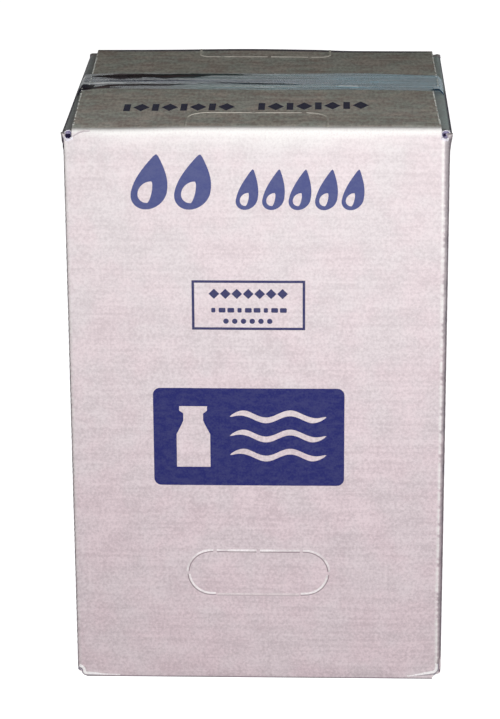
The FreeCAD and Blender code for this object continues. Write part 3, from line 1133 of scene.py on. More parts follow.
def printTitle():
    drops, hollows = [], []
    for start, step, count, width, tall in titleValues["groups"]:
        for index in range(count):
            drop, hollow = drawDrop(start + index * step, width, tall)
            drops.append(drop)
            hollows.append(hollow)
    layPrint("titleDrops", drops, "front", titleInk)
    layPrint("titleCrescents", hollows, "front", board)


labelValues = {
    "left": -44 * mm,
    "right": 32.4 * mm,
    "low": 260.6 * mm,
    "top": 295.7 * mm,
    "rule": 1.75 * mm,
    # each row: how many, first place, step and level
    "lozenges": (7, -29 * mm, 7.7 * mm, 286.2 * mm),
    "lozenge": 5.1 * mm,
    "dashes": (9, -29.5 * mm, 5.9 * mm, 274.6 * mm),
    "dash": 4.6 * mm,
    "shortDash": 2.8 * mm,  # every third one
    "dashTall": 3.3 * mm,
    "dots": (6, -21 * mm, 5.9 * mm, 266.8 * mm),
    "dot": 3.7 * mm,
}


def inRow(row):
    count, start, step, level = labelValues[row]
    return [(start + index * step, level) for index in range(count)]


def printLabel():
    values = labelValues
    left, right, low, top, rule = (values[key] for key in ("left", "right", "low", "top", "rule"))
    parts = []
    for x in (left + rule / 2, right - rule / 2):
        parts.append(flatRectangle("rule", x, (low + top) / 2, rule, top - low))
    for y in (low + rule / 2, top - rule / 2):
        parts.append(flatRectangle("rule", (left + right) / 2, y, right - left - 2 * rule, rule))
    for x, y in inRow("lozenges"):
        parts.append(flatRectangle("lozenge", x, y, values["lozenge"], values["lozenge"], turn=pi / 4))
    for index, (x, y) in enumerate(inRow("dashes")):
        wide = values["dash"] if index % 3 else values["shortDash"]
        parts.append(flatRectangle("dash", x, y, wide, values["dashTall"], radius=0.8 * mm))
    for x, y in inRow("dots"):
        parts.append(flatDisc("dot", x, y, values["dot"], values["dot"], corners=20))
    layPrint("labelLines", parts, "front", lineInk, 14 * mm)


fieldValues = {
    "left": -71.3 * mm,
    "right": 59.2 * mm,
    "low": 147.4 * mm,
    "top": 218.6 * mm,
    "corner": 5 * mm,
    "churn": (-44 * mm, 173 * mm),
    "churnBody": (23 * mm, 24 * mm),
    # shoulder, neck and lid of the churn, as (width at the slice's top, height)
    "churnSlices": ((15.5, 7.5), (13.5, 2.5), (13.5, 5), (19, 2.2), (19, 3.2)),
    "waveLevels": (198 * mm, 184 * mm, 170 * mm),
    "waveLeft": -19 * mm,
    "waveRight": 47 * mm,
    "waveSwing": 2.6 * mm,
    "waveThick": 4.2 * mm,
}


def drawChurn():
    # a milk churn, drawn up slice by slice
    values = fieldValues
    churn = newPlane("churn", (0, 0, 0), values["churnBody"])
    for wide, tall in values["churnSlices"]:
        top = max(vertex.co.y for vertex in churn.data.vertices)
        pick(churn, "EDGE", lambda a, b: edgeNear(a, b, 1, top))
        extrudePicked(0, tall * mm, 0)
        leaveEdit()
        for vertex in churn.data.vertices:
            if near(vertex.co.y, top + tall * mm):
                vertex.co.x = wide / 2 * mm * (1 if vertex.co.x > 0 else -1)
    for vertex in churn.data.vertices:
        vertex.co.x += values["churn"][0]
        vertex.co.y += values["churn"][1]
    return churn


def drawWave(level):
    values = fieldValues
    left, right = values["waveLeft"], values["waveRight"]
    wave = newPlane("wave", ((left + right) / 2, level, 0), (right - left, values["waveThick"]))
    subdivideEdges(wave, 59, lambda a, b: abs(a.x - b.x) > 10 * mm)
    for vertex in wave.data.vertices:
        share = (vertex.co.x - left) / (right - left)
        taper = sqrt(max(min(1, 6 * share, 6 * (1 - share)), 0))
        vertex.co.y = level + (vertex.co.y - level) * taper + values["waveSwing"] * sin(4 * pi * share)
    return wave


def printField():
    values = fieldValues
    left, right, low, top = (values[key] for key in ("left", "right", "low", "top"))
    x, y = (left + right) / 2, (low + top) / 2
    field = flatRectangle("field", x, y, right - left, top - low, radius=values["corner"])
    layPrint("field", [field], "front", fieldInk, 20 * mm)
    motifs = [drawChurn()] + [drawWave(level) for level in values["waveLevels"]]
    layPrint("fieldMotifs", motifs, "front", board)


flapRowValues = {
    "starts": (-89 * mm, 2 * mm),
    "count": 8,
    "step": 9.6 * mm,
    "level": -57 * mm,
    "askew": 8.5 / 168,
    "bar": (4.5 * mm, 18.5 * mm),
    "lozenge": (8, 13.8),
}


def printFlapRow():
    # upright bars and lozenges by turns, in two groups
    values = flapRowValues
    parts = []
    for start, index in product(values["starts"], range(values["count"])):
        x = start + index * values["step"]
        y = values["level"] + values["askew"] * (x + 90 * mm)
        if index % 2:
            part = flatRectangle("lozenge", 0, 0, 1 * mm, 1 * mm, turn=pi / 4)
            for vertex in part.data.vertices:
                wide, tall = values["lozenge"]
                vertex.co = (x + vertex.co.x * wide, y + vertex.co.y * tall, 0)
        else:
            part = flatRectangle("bar", x, y, *values["bar"])
        parts.append(part)
    layPrint("flapRow", parts, "top", flapInk)


printTitle()
printLabel()
printField()
printFlapRow()
print("print laid")


# cut and creased lines: the hand hole, the tabs in the top flaps and the glued edge

slitLift = 0.045

cutLook = {
    # each section runs from the right of the path to its left, as (across, lift)
    "hand": ((-0.8, 0), (-0.6, slitLift), (-0.1, slitLift), (0.1, 0.26), (0.55, 0.32), (1.1, 0.2), (1.5, 0)),
    "flap": (
        (-0.9, 0), (-0.5, 0.26), (-0.15, 0.32), (-0.05, slitLift),
        (0.1, slitLift), (0.25, 0.26), (0.5, 0.18), (0.9, 0),
    ),
    "flapSide": ((-0.9, 0), (-0.55, 0.28), (-0.2, 0.34), (0.2, 0.32), (0.55, 0.24), (0.9, 0)),
    "crease": (
        (-1.4, 0.01), (-1.2, slitLift), (-0.5, slitLift), (-0.35, 0.1),
        (0, 0.14), (0.3, 0.11), (0.6, 0.07), (0.9, 0.01),
    ),
    "score": ((-0.7, 0.01), (-0.5, slitLift), (0.1, slitLift), (0.25, 0.07), (0.5, 0.01)),
    "lip": (
        (-1.6, 0.01), (-1.4, slitLift), (-0.9, slitLift), (-0.75, 0.5),
        (-0.45, 0.7), (0.1, 0.52), (0.7, 0.26), (1.2, 0.01),
    ),
    "step": 2 * mm,
    "arcStep": radians(10),
}


def drawCut(name, start, heading, moves, section, mirrored=False):
    # the cut's section stands on a short strip, whose leading edge is drawn along the path;
    # each move is (length, turn), and start is in millimetres
    rows = cutLook[section]
    if mirrored:
        rows = tuple((-across, lift) for across, lift in reversed(rows))
    clearSelection()
    gaps = len(rows) - 1
    bpy.ops.mesh.primitive_grid_add(x_subdivisions=1, y_subdivisions=gaps, size=1, location=(-0.5, 0, 0))
    piece = nameNew(name)
    applyAll(piece)
    for vertex in piece.data.vertices:
        across, lift = rows[round((vertex.co.y + 0.5) * gaps)]
        vertex.co = (0 if vertex.co.x > -0.5 else -0.2 * mm, across * mm, lift * mm)
    pick(piece, "EDGE", lambda a, b: edgeNear(a, b, 0, 0))
    x = y = turned = 0
    for length, turn in moves:
        if not turn:
            steps = max(1, round(length / cutLook["step"]))
            for step in range(steps):
                extrudePicked(cos(turned) * length / steps, sin(turned) * length / steps, 0)
            x += cos(turned) * length
            y += sin(turned) * length
            continue
        radius = length / turn
        centre = (x - radius * sin(turned), y + radius * cos(turned), 0)
        steps = max(2, round(abs(turn) / cutLook["arcStep"]))
        bpy.ops.mesh.spin(steps=steps, angle=-turn, center=centre, axis=(0, 0, 1))
        turned += turn
        x = centre[0] + radius * sin(turned)
        y = centre[1] - radius * cos(turned)
    bpy.ops.mesh.select_all(action="SELECT")
    bpy.ops.mesh.remove_doubles(threshold=0.001 * mm)
    leaveEdit()
    piece.rotation_euler.z = heading
    piece.location = (start[0] * mm, start[1] * mm, 0)
    applyAll(piece)
    if piece.data.polygons[0].normal.z < 0:
        flipFaces(piece)
    return piece


def cutMaterial(name, pale, dark, dull=(0.8, 0.77, 0.78)):
    material, tree, shader = startMaterial(name, 0.85, 0.2)
    grain = addNoise(tree, 800, 3, rough=0.7)
    dimmer = tuple(0.82 * channel for channel in pale)
    paper = addRamp(tree, grain, [(0.35, dimmer), (0.6, pale)])
    patch = addRamp(tree, addNoise(tree, 75, 3), [(0.4, dull), (0.53, (1, 1, 1))])
    paper = addMix(tree, "MULTIPLY", 1, paper, patch)
    # the slit strip is painted dark, as the shade down a cut and along a crease
    colour = addMix(tree, "MIX", readAttribute(tree, "slitShade").outputs["Fac"], paper, dark)
    tree.links.new(colour, shader.inputs["Base Color"])
    return material


# the hand hole and the tabs, in millimetres
handValues = {
    "reach": 48.7,  # from the middle to either end
    "low": 65.2,
    "top": 97.8,
    "nick": 1.3,  # half of what stays uncut at either end
    "topRuns": ((-28.6, -1.2), (1.4, 28.8)),
    "topLast": 31.2,  # where the run begins that goes on into the right end
    "lowLast": 29.6,
    "topTail": 1.1,  # how far the left end's cuts go on past their arcs
    "lowTail": 2.6,
    "crease": (-28.6, 57),
}
tabValues = {
    "front": {
        "left": -47.2, "right": 47, "fold": -108.8, "end": -68.5, "radius": 14.5,
        "nicks": (-34.5, -2.7, 30.5),
    },
    "back": {
        "left": -46.2, "right": 47.6, "fold": 108.8, "end": 87.6, "radius": 7, "nicks": (-30, 4, 33),
    },
    "nick": 1.2,  # half of what stays uncut at each of the nicks
}


def cutHandHole():
    values = handValues
    low, top = values["low"], values["top"]
    radius = (top - low) / 2
    bend = values["reach"] - radius
    turn = pi / 2 - values["nick"] / radius
    arc = turn * radius * mm
    # from the nick at the left end up and down, then the runs along the top and round the right end
    left, rise = -bend - radius * sin(turn), radius * cos(turn)
    cuts = [
        ((left, radius + low + rise), turn, [(arc, -turn), (values["topTail"] * mm, 0)]),
        ((left, radius + low - rise), -turn, [(arc, turn), (values["lowTail"] * mm, 0)]),
    ]
    cuts += [((start, top), 0, [((end - start) * mm, 0)]) for start, end in values["topRuns"]]
    for start, level, way in ((values["topLast"], top, -1), (values["lowLast"], low, 1)):
        cuts.append(((start, level), 0, [((bend - start) * mm, 0), (arc, way * turn)]))
    return joinPieces([drawCut("cut", *cut, "hand") for cut in cuts], "handHoleCut")


def cutTab(name, values):
    inward = 1 if values["end"] > values["fold"] else -1
    radius, end, nick = values["radius"], values["end"], tabValues["nick"]
    run = abs(end - values["fold"]) - radius
    pieces = []
    for side, edge in ((-1, values["left"]), (1, values["right"])):
        moves = [(run * mm, 0), (radius * pi / 2 * mm, pi / 2 * side * inward)]
        pieces.append(drawCut("cut", (edge, values["fold"]), pi / 2 * inward, moves, "flapSide"))
    places = [values["left"] + radius, *values["nicks"], values["right"] - radius]
    for first, second in zip(places, places[1:]):
        start = first + (nick if first in values["nicks"] else 0)
        stop = second - (nick if second in values["nicks"] else 0)
        if stop - start > 1:
            pieces.append(drawCut("cut", (start, end), 0, [((stop - start) * mm, 0)], "flap"))
    return joinPieces(pieces, name)


def markSlit(piece):
    # the strip at the slit's level is painted dark as shade
    slitShade = piece.data.attributes.new("slitShade", "FLOAT", "POINT")
    for vertex in piece.data.vertices:
        slitShade.data[vertex.index].value = 1 if near(vertex.co.z, slitLift * mm) else 0


tornEdge = cutMaterial("tornEdge", (0.97, 0.91, 0.93), (0.3, 0.22, 0.25))
creamEdge = cutMaterial("creamEdge", (0.97, 0.92, 0.83), (0.35, 0.32, 0.27))
lipPaper = cutMaterial("lipPaper", (1, 0.97, 0.98), (0.25, 0.2, 0.26), dull=(1, 1, 1))
foldMark = cutMaterial("foldMark", (0.93, 0.89, 0.9), (0.52, 0.46, 0.49))
creaseMark = cutMaterial("creaseMark", (0.8, 0.71, 0.73), (0.58, 0.48, 0.52), dull=(0.92, 0.9, 0.91))


def thinOut(piece, start, level, end, reach):
    # narrows a lip that runs along the foot, from its full width to a thin line
    for vertex in piece.data.vertices:
        past = fade(abs(start) - abs(vertex.co.x), reach)
        if past:
            middle = level + (end - level) * past
            vertex.co.y = middle + (vertex.co.y - middle) * (1 - 0.72 * past)


def footLips():
    # torn paper along the cuts beside the base flap, the right one turned over
    left = drawCut("lip", (-126.5, 9), radians(-37), [
        (2.6 * mm, 0), (1.8 * mm, -radians(50)), (1.4 * mm, 0), (2.4 * mm, radians(85)), (24 * mm, 0),
    ], "lip")
    thinOut(left, -121 * mm, 2.5 * mm, 2.2 * mm, 16 * mm)
    right = drawCut("lip", (125.1, 12.6), radians(-90), [
        (3.4 * mm, 0), (5 * mm, -radians(80)), (18 * mm, 0),
    ], "lip", mirrored=True)
    thinOut(right, 121 * mm, 5.5 * mm, 3 * mm, 16 * mm)
    return joinPieces([left, right], "footLips")


slotMoves = [(2 * mm, 0), (6 * mm, -radians(30)), (4 * mm, 0)]
slotCrease = drawCut("slotCrease", (-121, 395.4), radians(36), slotMoves, "score")
creaseStart, creaseLong = handValues["crease"]
handCrease = drawCut("handHoleCrease", (creaseStart, handValues["low"]), 0, [(creaseLong * mm, 0)], "crease")
for piece, panel, material in (
    (cutHandHole(), "front", tornEdge),
    (handCrease, "front", creaseMark),
    (slotCrease, "front", foldMark),
    (footLips(), "front", lipPaper),
    (cutTab("frontTabCut", tabValues["front"]), "top", creamEdge),
    (cutTab("backTabCut", tabValues["back"]), "top", creamEdge),
    (drawCut("gluedEdge", (-102.9, 7), pi / 2, [(386 * mm, 0)], "hand"), "left", tornEdge),
):
    markSlit(piece)
    layOn(piece, panel)
    smoothByAngle(piece, 60)
    finish(piece, [material], "board")
    print(piece.name, len(piece.data.polygons), "faces")
print("cuts drawn")


# the slots beside the outer flaps, torn pale round a dark opening

slotValues = {
    "paper": 0.62 * mm,
    "shadeDepth": 0.3 * mm,
    "lean": 0.8,  # the upper part leans back over the fold
    "leanFrom": 394.6 * mm,
    "settle": 0.2,  # and comes down by this share of it
    "backTall": 0.2,  # the slots at the back keep below the flap
    "torn": 0.16,
    "deep": 3 * mm,
}
# each part of a slot as (middle, level, half width, half height) in millimetres, left and right
slotPlaces = {
    "rim": {-1: (124.5, 396.1, 2.9, 3.3), 1: (124.9, 396.6, 3.1, 3.2)},
    "shadedInside": {-1: (124.5, 396.2, 2.6, 3.2), 1: (124.7, 396.7, 2.7, 3.1)},
    "shade": {-1: (124.8, 395.2, 2.1, 1.35), 1: (124.2, 396.5, 1.1, 1.1)},
}


def ontoCorner(x):
    # how far the rounded upright fold falls back from the front's plane
    radius = sheet["uprightRadius"][1 if x > 0 else -1]
    past = min(max(abs(x) - halfWidth + radius, 0), radius * 0.98)
    return radius - sqrt(radius * radius - past * past)


def makeSlotRim():
    # a ring two units across, torn as it goes round
    values = slotValues
    clearSelection()
    bpy.ops.mesh.primitive_torus_add(
        major_radius=1 * mm, minor_radius=0.2 * mm, major_segments=48, minor_segments=8,
        location=(0, 0, 0), rotation=(pi / 2, 0, 0),
    )
    rim = nameNew("slotRim")
    applyAll(rim)
    for vertex in rim.data.vertices:
        x, y, z = vertex.co
        way = Vector((x, 0, z)).normalized()
        torn = noise.noise(Vector((way.x * 2.6, y / mm, way.z * 2.6 + 4)))
        thick = values["paper"] / mm * (1 - 0.3 * way.z)
        off = (vertex.co - way * mm) / (0.2 * mm)
        vertex.co = way * (1 + values["torn"] * torn) + off * thick * 0.34 * (1 + 0.8 * torn)
    return rim


def makeSlotDisc(name, swell):
    disc = flatDisc(name, 0, 0, 2, 2, corners=28)
    gridCuts(disc, 0.25, 3)
    for vertex in disc.data.vertices:
        x, z = vertex.co.x, vertex.co.y
        uneven = 1 + swell * noise.noise(Vector((x, z, 0.4)) * 1.4)
        vertex.co = (x * uneven, 0, z * uneven)
    return disc


def placeSlots(original, part, depth, material):
    # the shapes are two units across and are given their size in place
    values = slotValues
    copies = []
    for facing, side in product((-1, 1), repeat=2):
        middle, level, width, tall = slotPlaces[part][side]
        piece = copyPiece(original, original.name)
        for vertex in piece.data.vertices:
            x, y, z = vertex.co
            across = (middle + x * width) * mm
            up = (level + z * tall) * mm
            if facing > 0:
                up = values["leanFrom"] + (up - values["leanFrom"]) * values["backTall"]
            lean = max(up - values["leanFrom"], 0)
            back = ontoCorner(side * across) + y * values["deep"] + depth + lean * values["lean"]
            vertex.co = (side * across, facing * (halfDepth - back), up - values["settle"] * lean)
        copies.append(piece)
    name = original.name + "s"
    bpy.data.objects.remove(original)
    whole = joinPieces(copies, name)
    faceOutwards(whole)
    smoothByAngle(whole, 60)
    finish(whole, [material], "board")


shadeDepth = slotValues["shadeDepth"]
tornPaper = plainMaterial("tornPaper", (0.9, 0.87, 0.95), 0.9)
slotLilac = plainMaterial("slotLilac", (0.3, 0.27, 0.42), 0.95)
slotDark = plainMaterial("slotDark", (0.014, 0.01, 0.035), 0.95)
placeSlots(makeSlotRim(), "rim", 0, tornPaper)
# the lilac disc is painted half-shade on the slot's torn inside, and the dark disc painted shade in the
# opening
placeSlots(makeSlotDisc("slotShadedInside", 0.1), "shadedInside", shadeDepth, slotLilac)
placeSlots(makeSlotDisc("slotShade", 0.5), "shade", shadeDepth * 0.4, slotDark)


curlValues = {
    # each curl: side, distance from the middle and level in millimetres, and size
    "places": ((-1, 126.4, 6.5, 1), (1, 123.4, 4.7, 0.7)),
    "ring": 0.95 * mm,
    "paper": 0.42 * mm,
}


def makeFootCurls():
    # small rolls of torn paper where the cuts end at the lower corners
    values = curlValues
    curls = []
    for side, across, level, size in values["places"]:
        x = side * across * mm
        clearSelection()
        bpy.ops.mesh.primitive_torus_add(
            major_radius=values["ring"] * size, minor_radius=values["paper"] * size,
            major_segments=28, minor_segments=8,
            location=(x, -halfDepth + ontoCorner(x), level * mm), rotation=(pi / 2, 0, 0),
        )
        curl = nameNew("footCurl")
        applyAll(curl)
        for vertex in curl.data.vertices:
            start = vertex.co.copy()
            vertex.co.y += 0.3 * mm * noise.noise(start / (2 * mm))
            vertex.co.z += 0.5 * mm * noise.noise(start / (1.7 * mm) + Vector((4, 0, 0)))
        other = copyPiece(curl, "footCurl")
        for vertex in other.data.vertices:
            vertex.co.y *= -1
        flipFaces(other)
        curls += [curl, other]
    whole = joinPieces(curls, "footCurls")
    smoothByAngle(whole, 60)
    return whole


finish(makeFootCurls(), [plainMaterial("curledPaper", (0.26, 0.24, 0.3), 0.9)], "board")
print("slots lined")


# tape over a seam, as a strip that follows the flaps and the side panels

tapeLook = {
    "film": 0.06 * mm,
    "lift": 0.12 * mm,
    "columns": 60,
    "bend": 1.6 * mm,
    "tooth": 0.9 * mm,
    "edgeRadius": 0.8 * mm,
    "tail": 55 * mm,
    "fineLines": 0.07 * mm,
    "plain": (0.235, 0.245, 0.28),
    # teal, blue and lilac carry a painted reflection of a blue surrounding over the film's tint
    "teal": (0.17, 0.39, 0.41),
    "blue": (0.08, 0.38, 0.54),
    "lilacLeft": (0.2, 0.24, 0.38),
    "lilac": (0.26, 0.31, 0.52),
    # painted shade in the gathered ridges, and their painted glints
    "folded": (0.19, 0.12, 0.125),
    "shine": (0.97, 0.98, 1),
    "cornerShade": (0.09, 0.08, 0.15),
    "pocketShade": (0.06, 0.09, 0.2),
    "lines": [(0.34, (0.42, 0.45, 0.48)), (0.5, (0.95, 0.95, 0.95)), (0.64, (1.6, 1.52, 1.45))],
    "cover": 0.43,
    "foldedFrom": 0.3,  # the film is without gloss where it is darker than this
    "foldedCover": 0.88,
    "shineCover": 0.95,
}
# where the top tape's front and back edges run, as (x, y) in millimetres
tapeEdges = {
    "front": (
        (-128, -15), (-122, -10.5), (-114, -6), (-110, -5), (-60, -6), (0, -8), (60, -6.5), (128, -8.5),
    ),
    "back": ((-128, 34), (-110, 36.5), (-60, 37), (0, 38), (62, 39), (128, 33)),
}
# ridges where the film is gathered: path, height, half width, and from x to x how dark its painted shade is
# and how pale its painted glint is
tapeRidges = (
    {
        "height": 0.14,
        "path": (
            (-128, 27), (-116, 28.8), (-100, 26.8), (-90, 27.6), (-79, 31), (-65, 29.4),
            (-51, 29.4), (-33, 34), (0, 34),
        ),
        "width": (
            (-128, 2.5), (-116, 3), (-111, 5.4), (-100, 8.6), (-90, 8), (-79, 5), (-65, 6.6),
            (-51, 6.8), (-33, 2.8), (0, 2),
        ),
        "dark": (
            (-128, 0.1), (-121, 0.3), (-116, 0.75), (-110, 0.82), (-55, 0.85), (-33, 0.8),
            (-16, 0.6), (6, 0.1), (14, 0),
        ),
    },
    {
        "height": 0.3,
        "path": ((-108, 17.2), (-50, 17), (-35, 18), (0, 19.6)),
        "width": ((-108, 1.2), (30, 1)),
        "dark": ((-112, 0), (-106, 0.7), (-65, 0.7), (-50, 0.45), (-30, 0.2), (10, 0.2), (40, 0)),
    },
    {
        "height": 0.25,
        "path": ((-85, 25.5), (0, 25.3), (30, 25)),
        "width": ((-85, 1), (30, 1)),
        "dark": ((-85, 0), (-79, 0.5), (-60, 0.2), (-33, 0.5), (0, 0.4), (30, 0.3), (50, 0)),
    },
    {
        "height": 0.14,
        "path": (
            (-128, -11), (-121, -7), (-116, -5), (-111, -3), (-106, 1.8), (-100, 3.6), (-90, 4.2),
            (-79, 5), (-65, 5), (-48, 7), (-33, 10.6), (-16, 9.6), (6, 9), (27, 6.8), (48, 4.4),
            (60, 3),
        ),
        "width": (
            (-128, 5), (-118, 3.6), (-111, 4.6), (-100, 2.6), (-90, 2.4), (-65, 2), (-48, 1.3),
            (-33, 1.5), (-16, 2), (6, 2), (48, 1.2),
        ),
        "dark": (
            (-128, 0.75), (-120, 0.85), (-116, 0.4), (-111, 0.85), (-90, 1), (-65, 0.95),
            (-50, 0.35), (-33, 0.45), (-16, 0.8), (6, 0.75), (27, 0.5), (48, 0.2), (62, 0),
        ),
    },
    {
        "height": 0.1,
        "path": ((-112, -3.2), (-96, -3.2)),
        "width": ((-112, 1.1), (-96, 1.1)),
        "dark": ((-112, 0), (-108, 0.7), (-100, 0.75), (-95, 0.3), (-90, 0)),
    },
    {
        "height": 0.35,
        "path": ((-128, 6), (-120, 8), (-116, 8.4), (-106, 9.4), (-90, 9.6), (-65, 12), (-40, 12)),
        "width": ((-128, 1.6), (-116, 2.3), (-104, 2.4), (-92, 1.5), (-63, 1)),
        "pale": ((-126, 0.8), (-120, 1), (-98, 0.9), (-92, 0.55), (-78, 0.6), (-63, 0.2), (-50, 0)),
    },
    {
        "height": 0.2,
        "path": ((-108, 18.5), (-100, 20.6), (-90, 20.4), (-60, 21.5)),
        "width": ((-108, 1.2), (-60, 1.2)),
        "pale": ((-108, 0), (-98, 0.08), (-90, 0.12), (-65, 0.1), (-50, 0)),
    },
    {
        "height": 0.2,
        "path": ((-95, -1), (0, 0), (60, 1)),
        "width": ((-95, 3), (60, 3)),
        "pale": ((-95, 0), (-80, 0.04), (-40, 0.1), (0, 0.18), (40, 0.2), (60, 0)),
    },
    {
        "height": 0.3,
        "path": ((-30, -1), (20, -1.5)),
        "width": ((-30, 1.1), (20, 1.1)),
        "pale": ((-30, 0), (-10, 0.4), (0, 0.8), (12, 0.3), (20, 0)),
    },
    {
        "height": 0.5,
        "path": ((48, 2.4), (56, 2.4), (66, 1.2), (72, 1)),
        "width": ((48, 1.6), (72, 1.6)),
        "pale": ((52, 0), (55, 1), (67, 1), (70, 0)),
    },
)


def along(points, x):
    for (x1, y1), (x2, y2) in zip(points, points[1:]):
        if x <= x2:
            return y1 + (y2 - y1) * fade(x - x1, x2 - x1)
    return points[-1][1]


def makeTape(name, node, up, leanLeft, leanRight):
    # a strip over the flaps, bent down over their cut sides and along the side panels
    look, radius = tapeLook, sheet["innerRadius"]
    yLow, yHigh = (corner[1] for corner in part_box(node))
    level = height if up > 0 else 0
    fold = height - sheet["board"] if up > 0 else sheet["board"]
    reaches = {-1: -flapEdge + leanLeft, 1: flapEdge + leanRight}
    piece = newPlane(name, (0, (yLow + yHigh) / 2, level), (2, yHigh - yLow))
    for vertex in piece.data.vertices:
        vertex.co.x = reaches[1 if vertex.co.x > 0 else -1]
    bends = []
    for side, reach in reaches.items():
        toPanel = halfWidth - side * reach
        toFold = abs(level - fold)
        slope = atan2(toFold + radius, toPanel - radius)
        slope -= asin(min(radius / hypot(toFold + radius, toPanel - radius), 1))
        pick(piece, "EDGE", lambda a, b: edgeNear(a, b, 0, reach))
        extrudePicked(side * toPanel, 0, -up * toPanel * tan(slope))
        bend = level - up * toPanel * tan(slope)
        extrudePicked(0, 0, fold - up * (radius + look["tail"]) - bend)
        bends.append((side * halfWidth, bend, look["bend"], 4))
        bends.append((reach, level, look["edgeRadius"], 3))
    leaveEdit()
    for x, z, size, segments in bends:
        pick(piece, "EDGE", lambda a, b: edgeNear(a, b, 0, x) and edgeNear(a, b, 2, z))
        bevelPicked(size, segments)
    subdivideEdges(piece, look["columns"] - 1, lambda a, b: abs(a.y - b.y) > 10 * mm)
    for cuts in (11, 10):
        subdivideEdges(piece, cuts, lambda a, b: abs(a.x - b.x) > 8 * mm)
    subdivideEdges(piece, 25, lambda a, b: abs(a.z - b.z) > 20 * mm)
    turnOutwards(piece, lambda middle, normal: normal.z * up > 0 if abs(normal.z) > 0.9 else None)
    return piece


def runAskew(piece):
    # the film's edges wander, and its columns with them
    yLow, yHigh = (corner[1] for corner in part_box("tape_top"))
    for vertex in piece.data.vertices:
        x, y = vertex.co[:2]
        share = (y - yLow) / (yHigh - yLow)
        front, back = (along(tapeEdges[name], x / mm) * mm for name in ("front", "back"))
        askew = 0.35 * mm * noise.noise(Vector((x / (30 * mm), share * 2, 2.7)))
        vertex.co.y = front + share * (back - front) + askew


def gatheredAt(x, y):
    # how high the ridges stand here, and how dark their painted shade and how pale their painted glint are
    rise = dark = pale = 0
    for ridge in tapeRidges:
        off = (y / mm - along(ridge["path"], x / mm)) / along(ridge["width"], x / mm)
        off += 0.5 * noise.noise(Vector((x / (14 * mm), ridge["height"] * 9, y / (40 * mm))))
        bump = exp(-(off ** 2))
        darkHere, paleHere = (along(ridge.get(kind, ((-128, 0),)), x / mm) for kind in ("dark", "pale"))
        rise += ridge["height"] * mm * bump * min(1, 1.2 * max(darkHere, paleHere))
        dark = max(dark, darkHere * bump)
        pale = max(pale, paleHere * bump)
    return rise, dark, pale


def laid(tone, cover, colour, share, most):
    # the film with a colour laid over it, and how much it then covers
    share = min(share, 1)
    return tone.lerp(Vector(colour), share), cover + (most - cover) * share


def paintTape(piece, gathered):
    # gives the film its relief, and its colour and cover as an attribute; gives back how dark each point is
    look = tapeLook
    darkness = []
    normals = [vertex.normal.copy() for vertex in piece.data.vertices]
    film = piece.data.attributes.new("film", "FLOAT_COLOR", "POINT")
    for vertex, normal in zip(piece.data.vertices, normals):
        x, y, z = vertex.co
        fine = noise.noise(Vector((x / (70 * mm), y / (1.7 * mm), z / (60 * mm))))
        share = 1 - fade(x - 10 * mm, 60 * mm) if gathered else 0.25
        rise, dark, pale = gatheredAt(x, y) if gathered and abs(normal.z) > 0.7 else (0, 0, 0)
        rise += look["lift"] + look["fineLines"] * (fine + 0.4) * (0.35 + share)
        vertex.co += normal * (relief(vertex.co, normal) + max(rise, 0.06 * mm))
        # grey at the left, then teal, then blue, darker towards the left end: the film's tint with a painted
        # reflection of a blue surrounding
        toRight = fade(x + 20 * mm, 60 * mm)
        tone = Vector(look["plain"]).lerp(Vector(look["teal"]), fade(x + 85 * mm, 50 * mm))
        tone = tone.lerp(Vector(look["blue"]), fade(x + 20 * mm, 90 * mm))
        tone = tone * (0.78 + 0.16 * toRight - 0.2 * fade(-x - 112 * mm, 9 * mm))
        lilac = Vector(look["lilacLeft"]).lerp(Vector(look["lilac"]), fade(x + 60 * mm, 50 * mm))
        tone = tone.lerp(lilac, 0.7 * share * exp(-(((y / mm) - 15) / 7) ** 2))
        cover = look["cover"] + 0.04 * toRight + 0.14 * fine * share
        # painted shade in the gathered ridges, then painted glints on them
        dark *= 0.82 + 0.5 * noise.noise(Vector((x / (26 * mm), y / (1.1 * mm), 5.3)))
        tone, cover = laid(tone, cover, look["folded"], dark, look["foldedCover"])
        tone, cover = laid(tone, cover, look["shine"], pale, look["shineCover"])
        if gathered and x < -112 * mm:
            corner = fade(-112 * mm - x, 12 * mm) * (1 - 0.8 * fade(y - 1 * mm, 8 * mm))
            corner *= exp(-(((height - z) / (16 * mm)) ** 2))
            tone = tone.lerp(Vector(look["cornerShade"]), 0.7 * corner * (1 - pale))
            cover = max(cover, 0.75 * corner)
            dark = max(dark, corner)
        if gathered and x > 117 * mm and y < 0:
            pocket = fade(x - 117 * mm, 4 * mm) * fade(-1 * mm - y, 5 * mm)
            tone = tone.lerp(Vector(look["pocketShade"]), 0.85 * pocket)
            cover = max(cover, 0.9 * pocket)
            dark = max(dark, pocket)
        film.data[vertex.index].color = (*tone, min(max(cover, 0.2), 1))
        darkness.append(min(dark, 1) * (1 - min(pale, 1)))
    return darkness


def cutTeeth(piece):
    # every other point of the film's two ends is drawn back
    for side in (-1, 1):
        ends = [vertex for vertex in piece.data.vertices if vertex.co.x * side > 0]
        furthest = max(min(abs(vertex.co.z), abs(vertex.co.z - height)) for vertex in ends)
        last = [vertex for vertex in ends if near(min(vertex.co.z, height - vertex.co.z), furthest, 0.3 * mm)]
        last.sort(key=lambda vertex: vertex.co.y)
        for vertex in last[1::2]:
            vertex.co.z += tapeLook["tooth"] * (1 if vertex.co.z > height / 2 else -1)


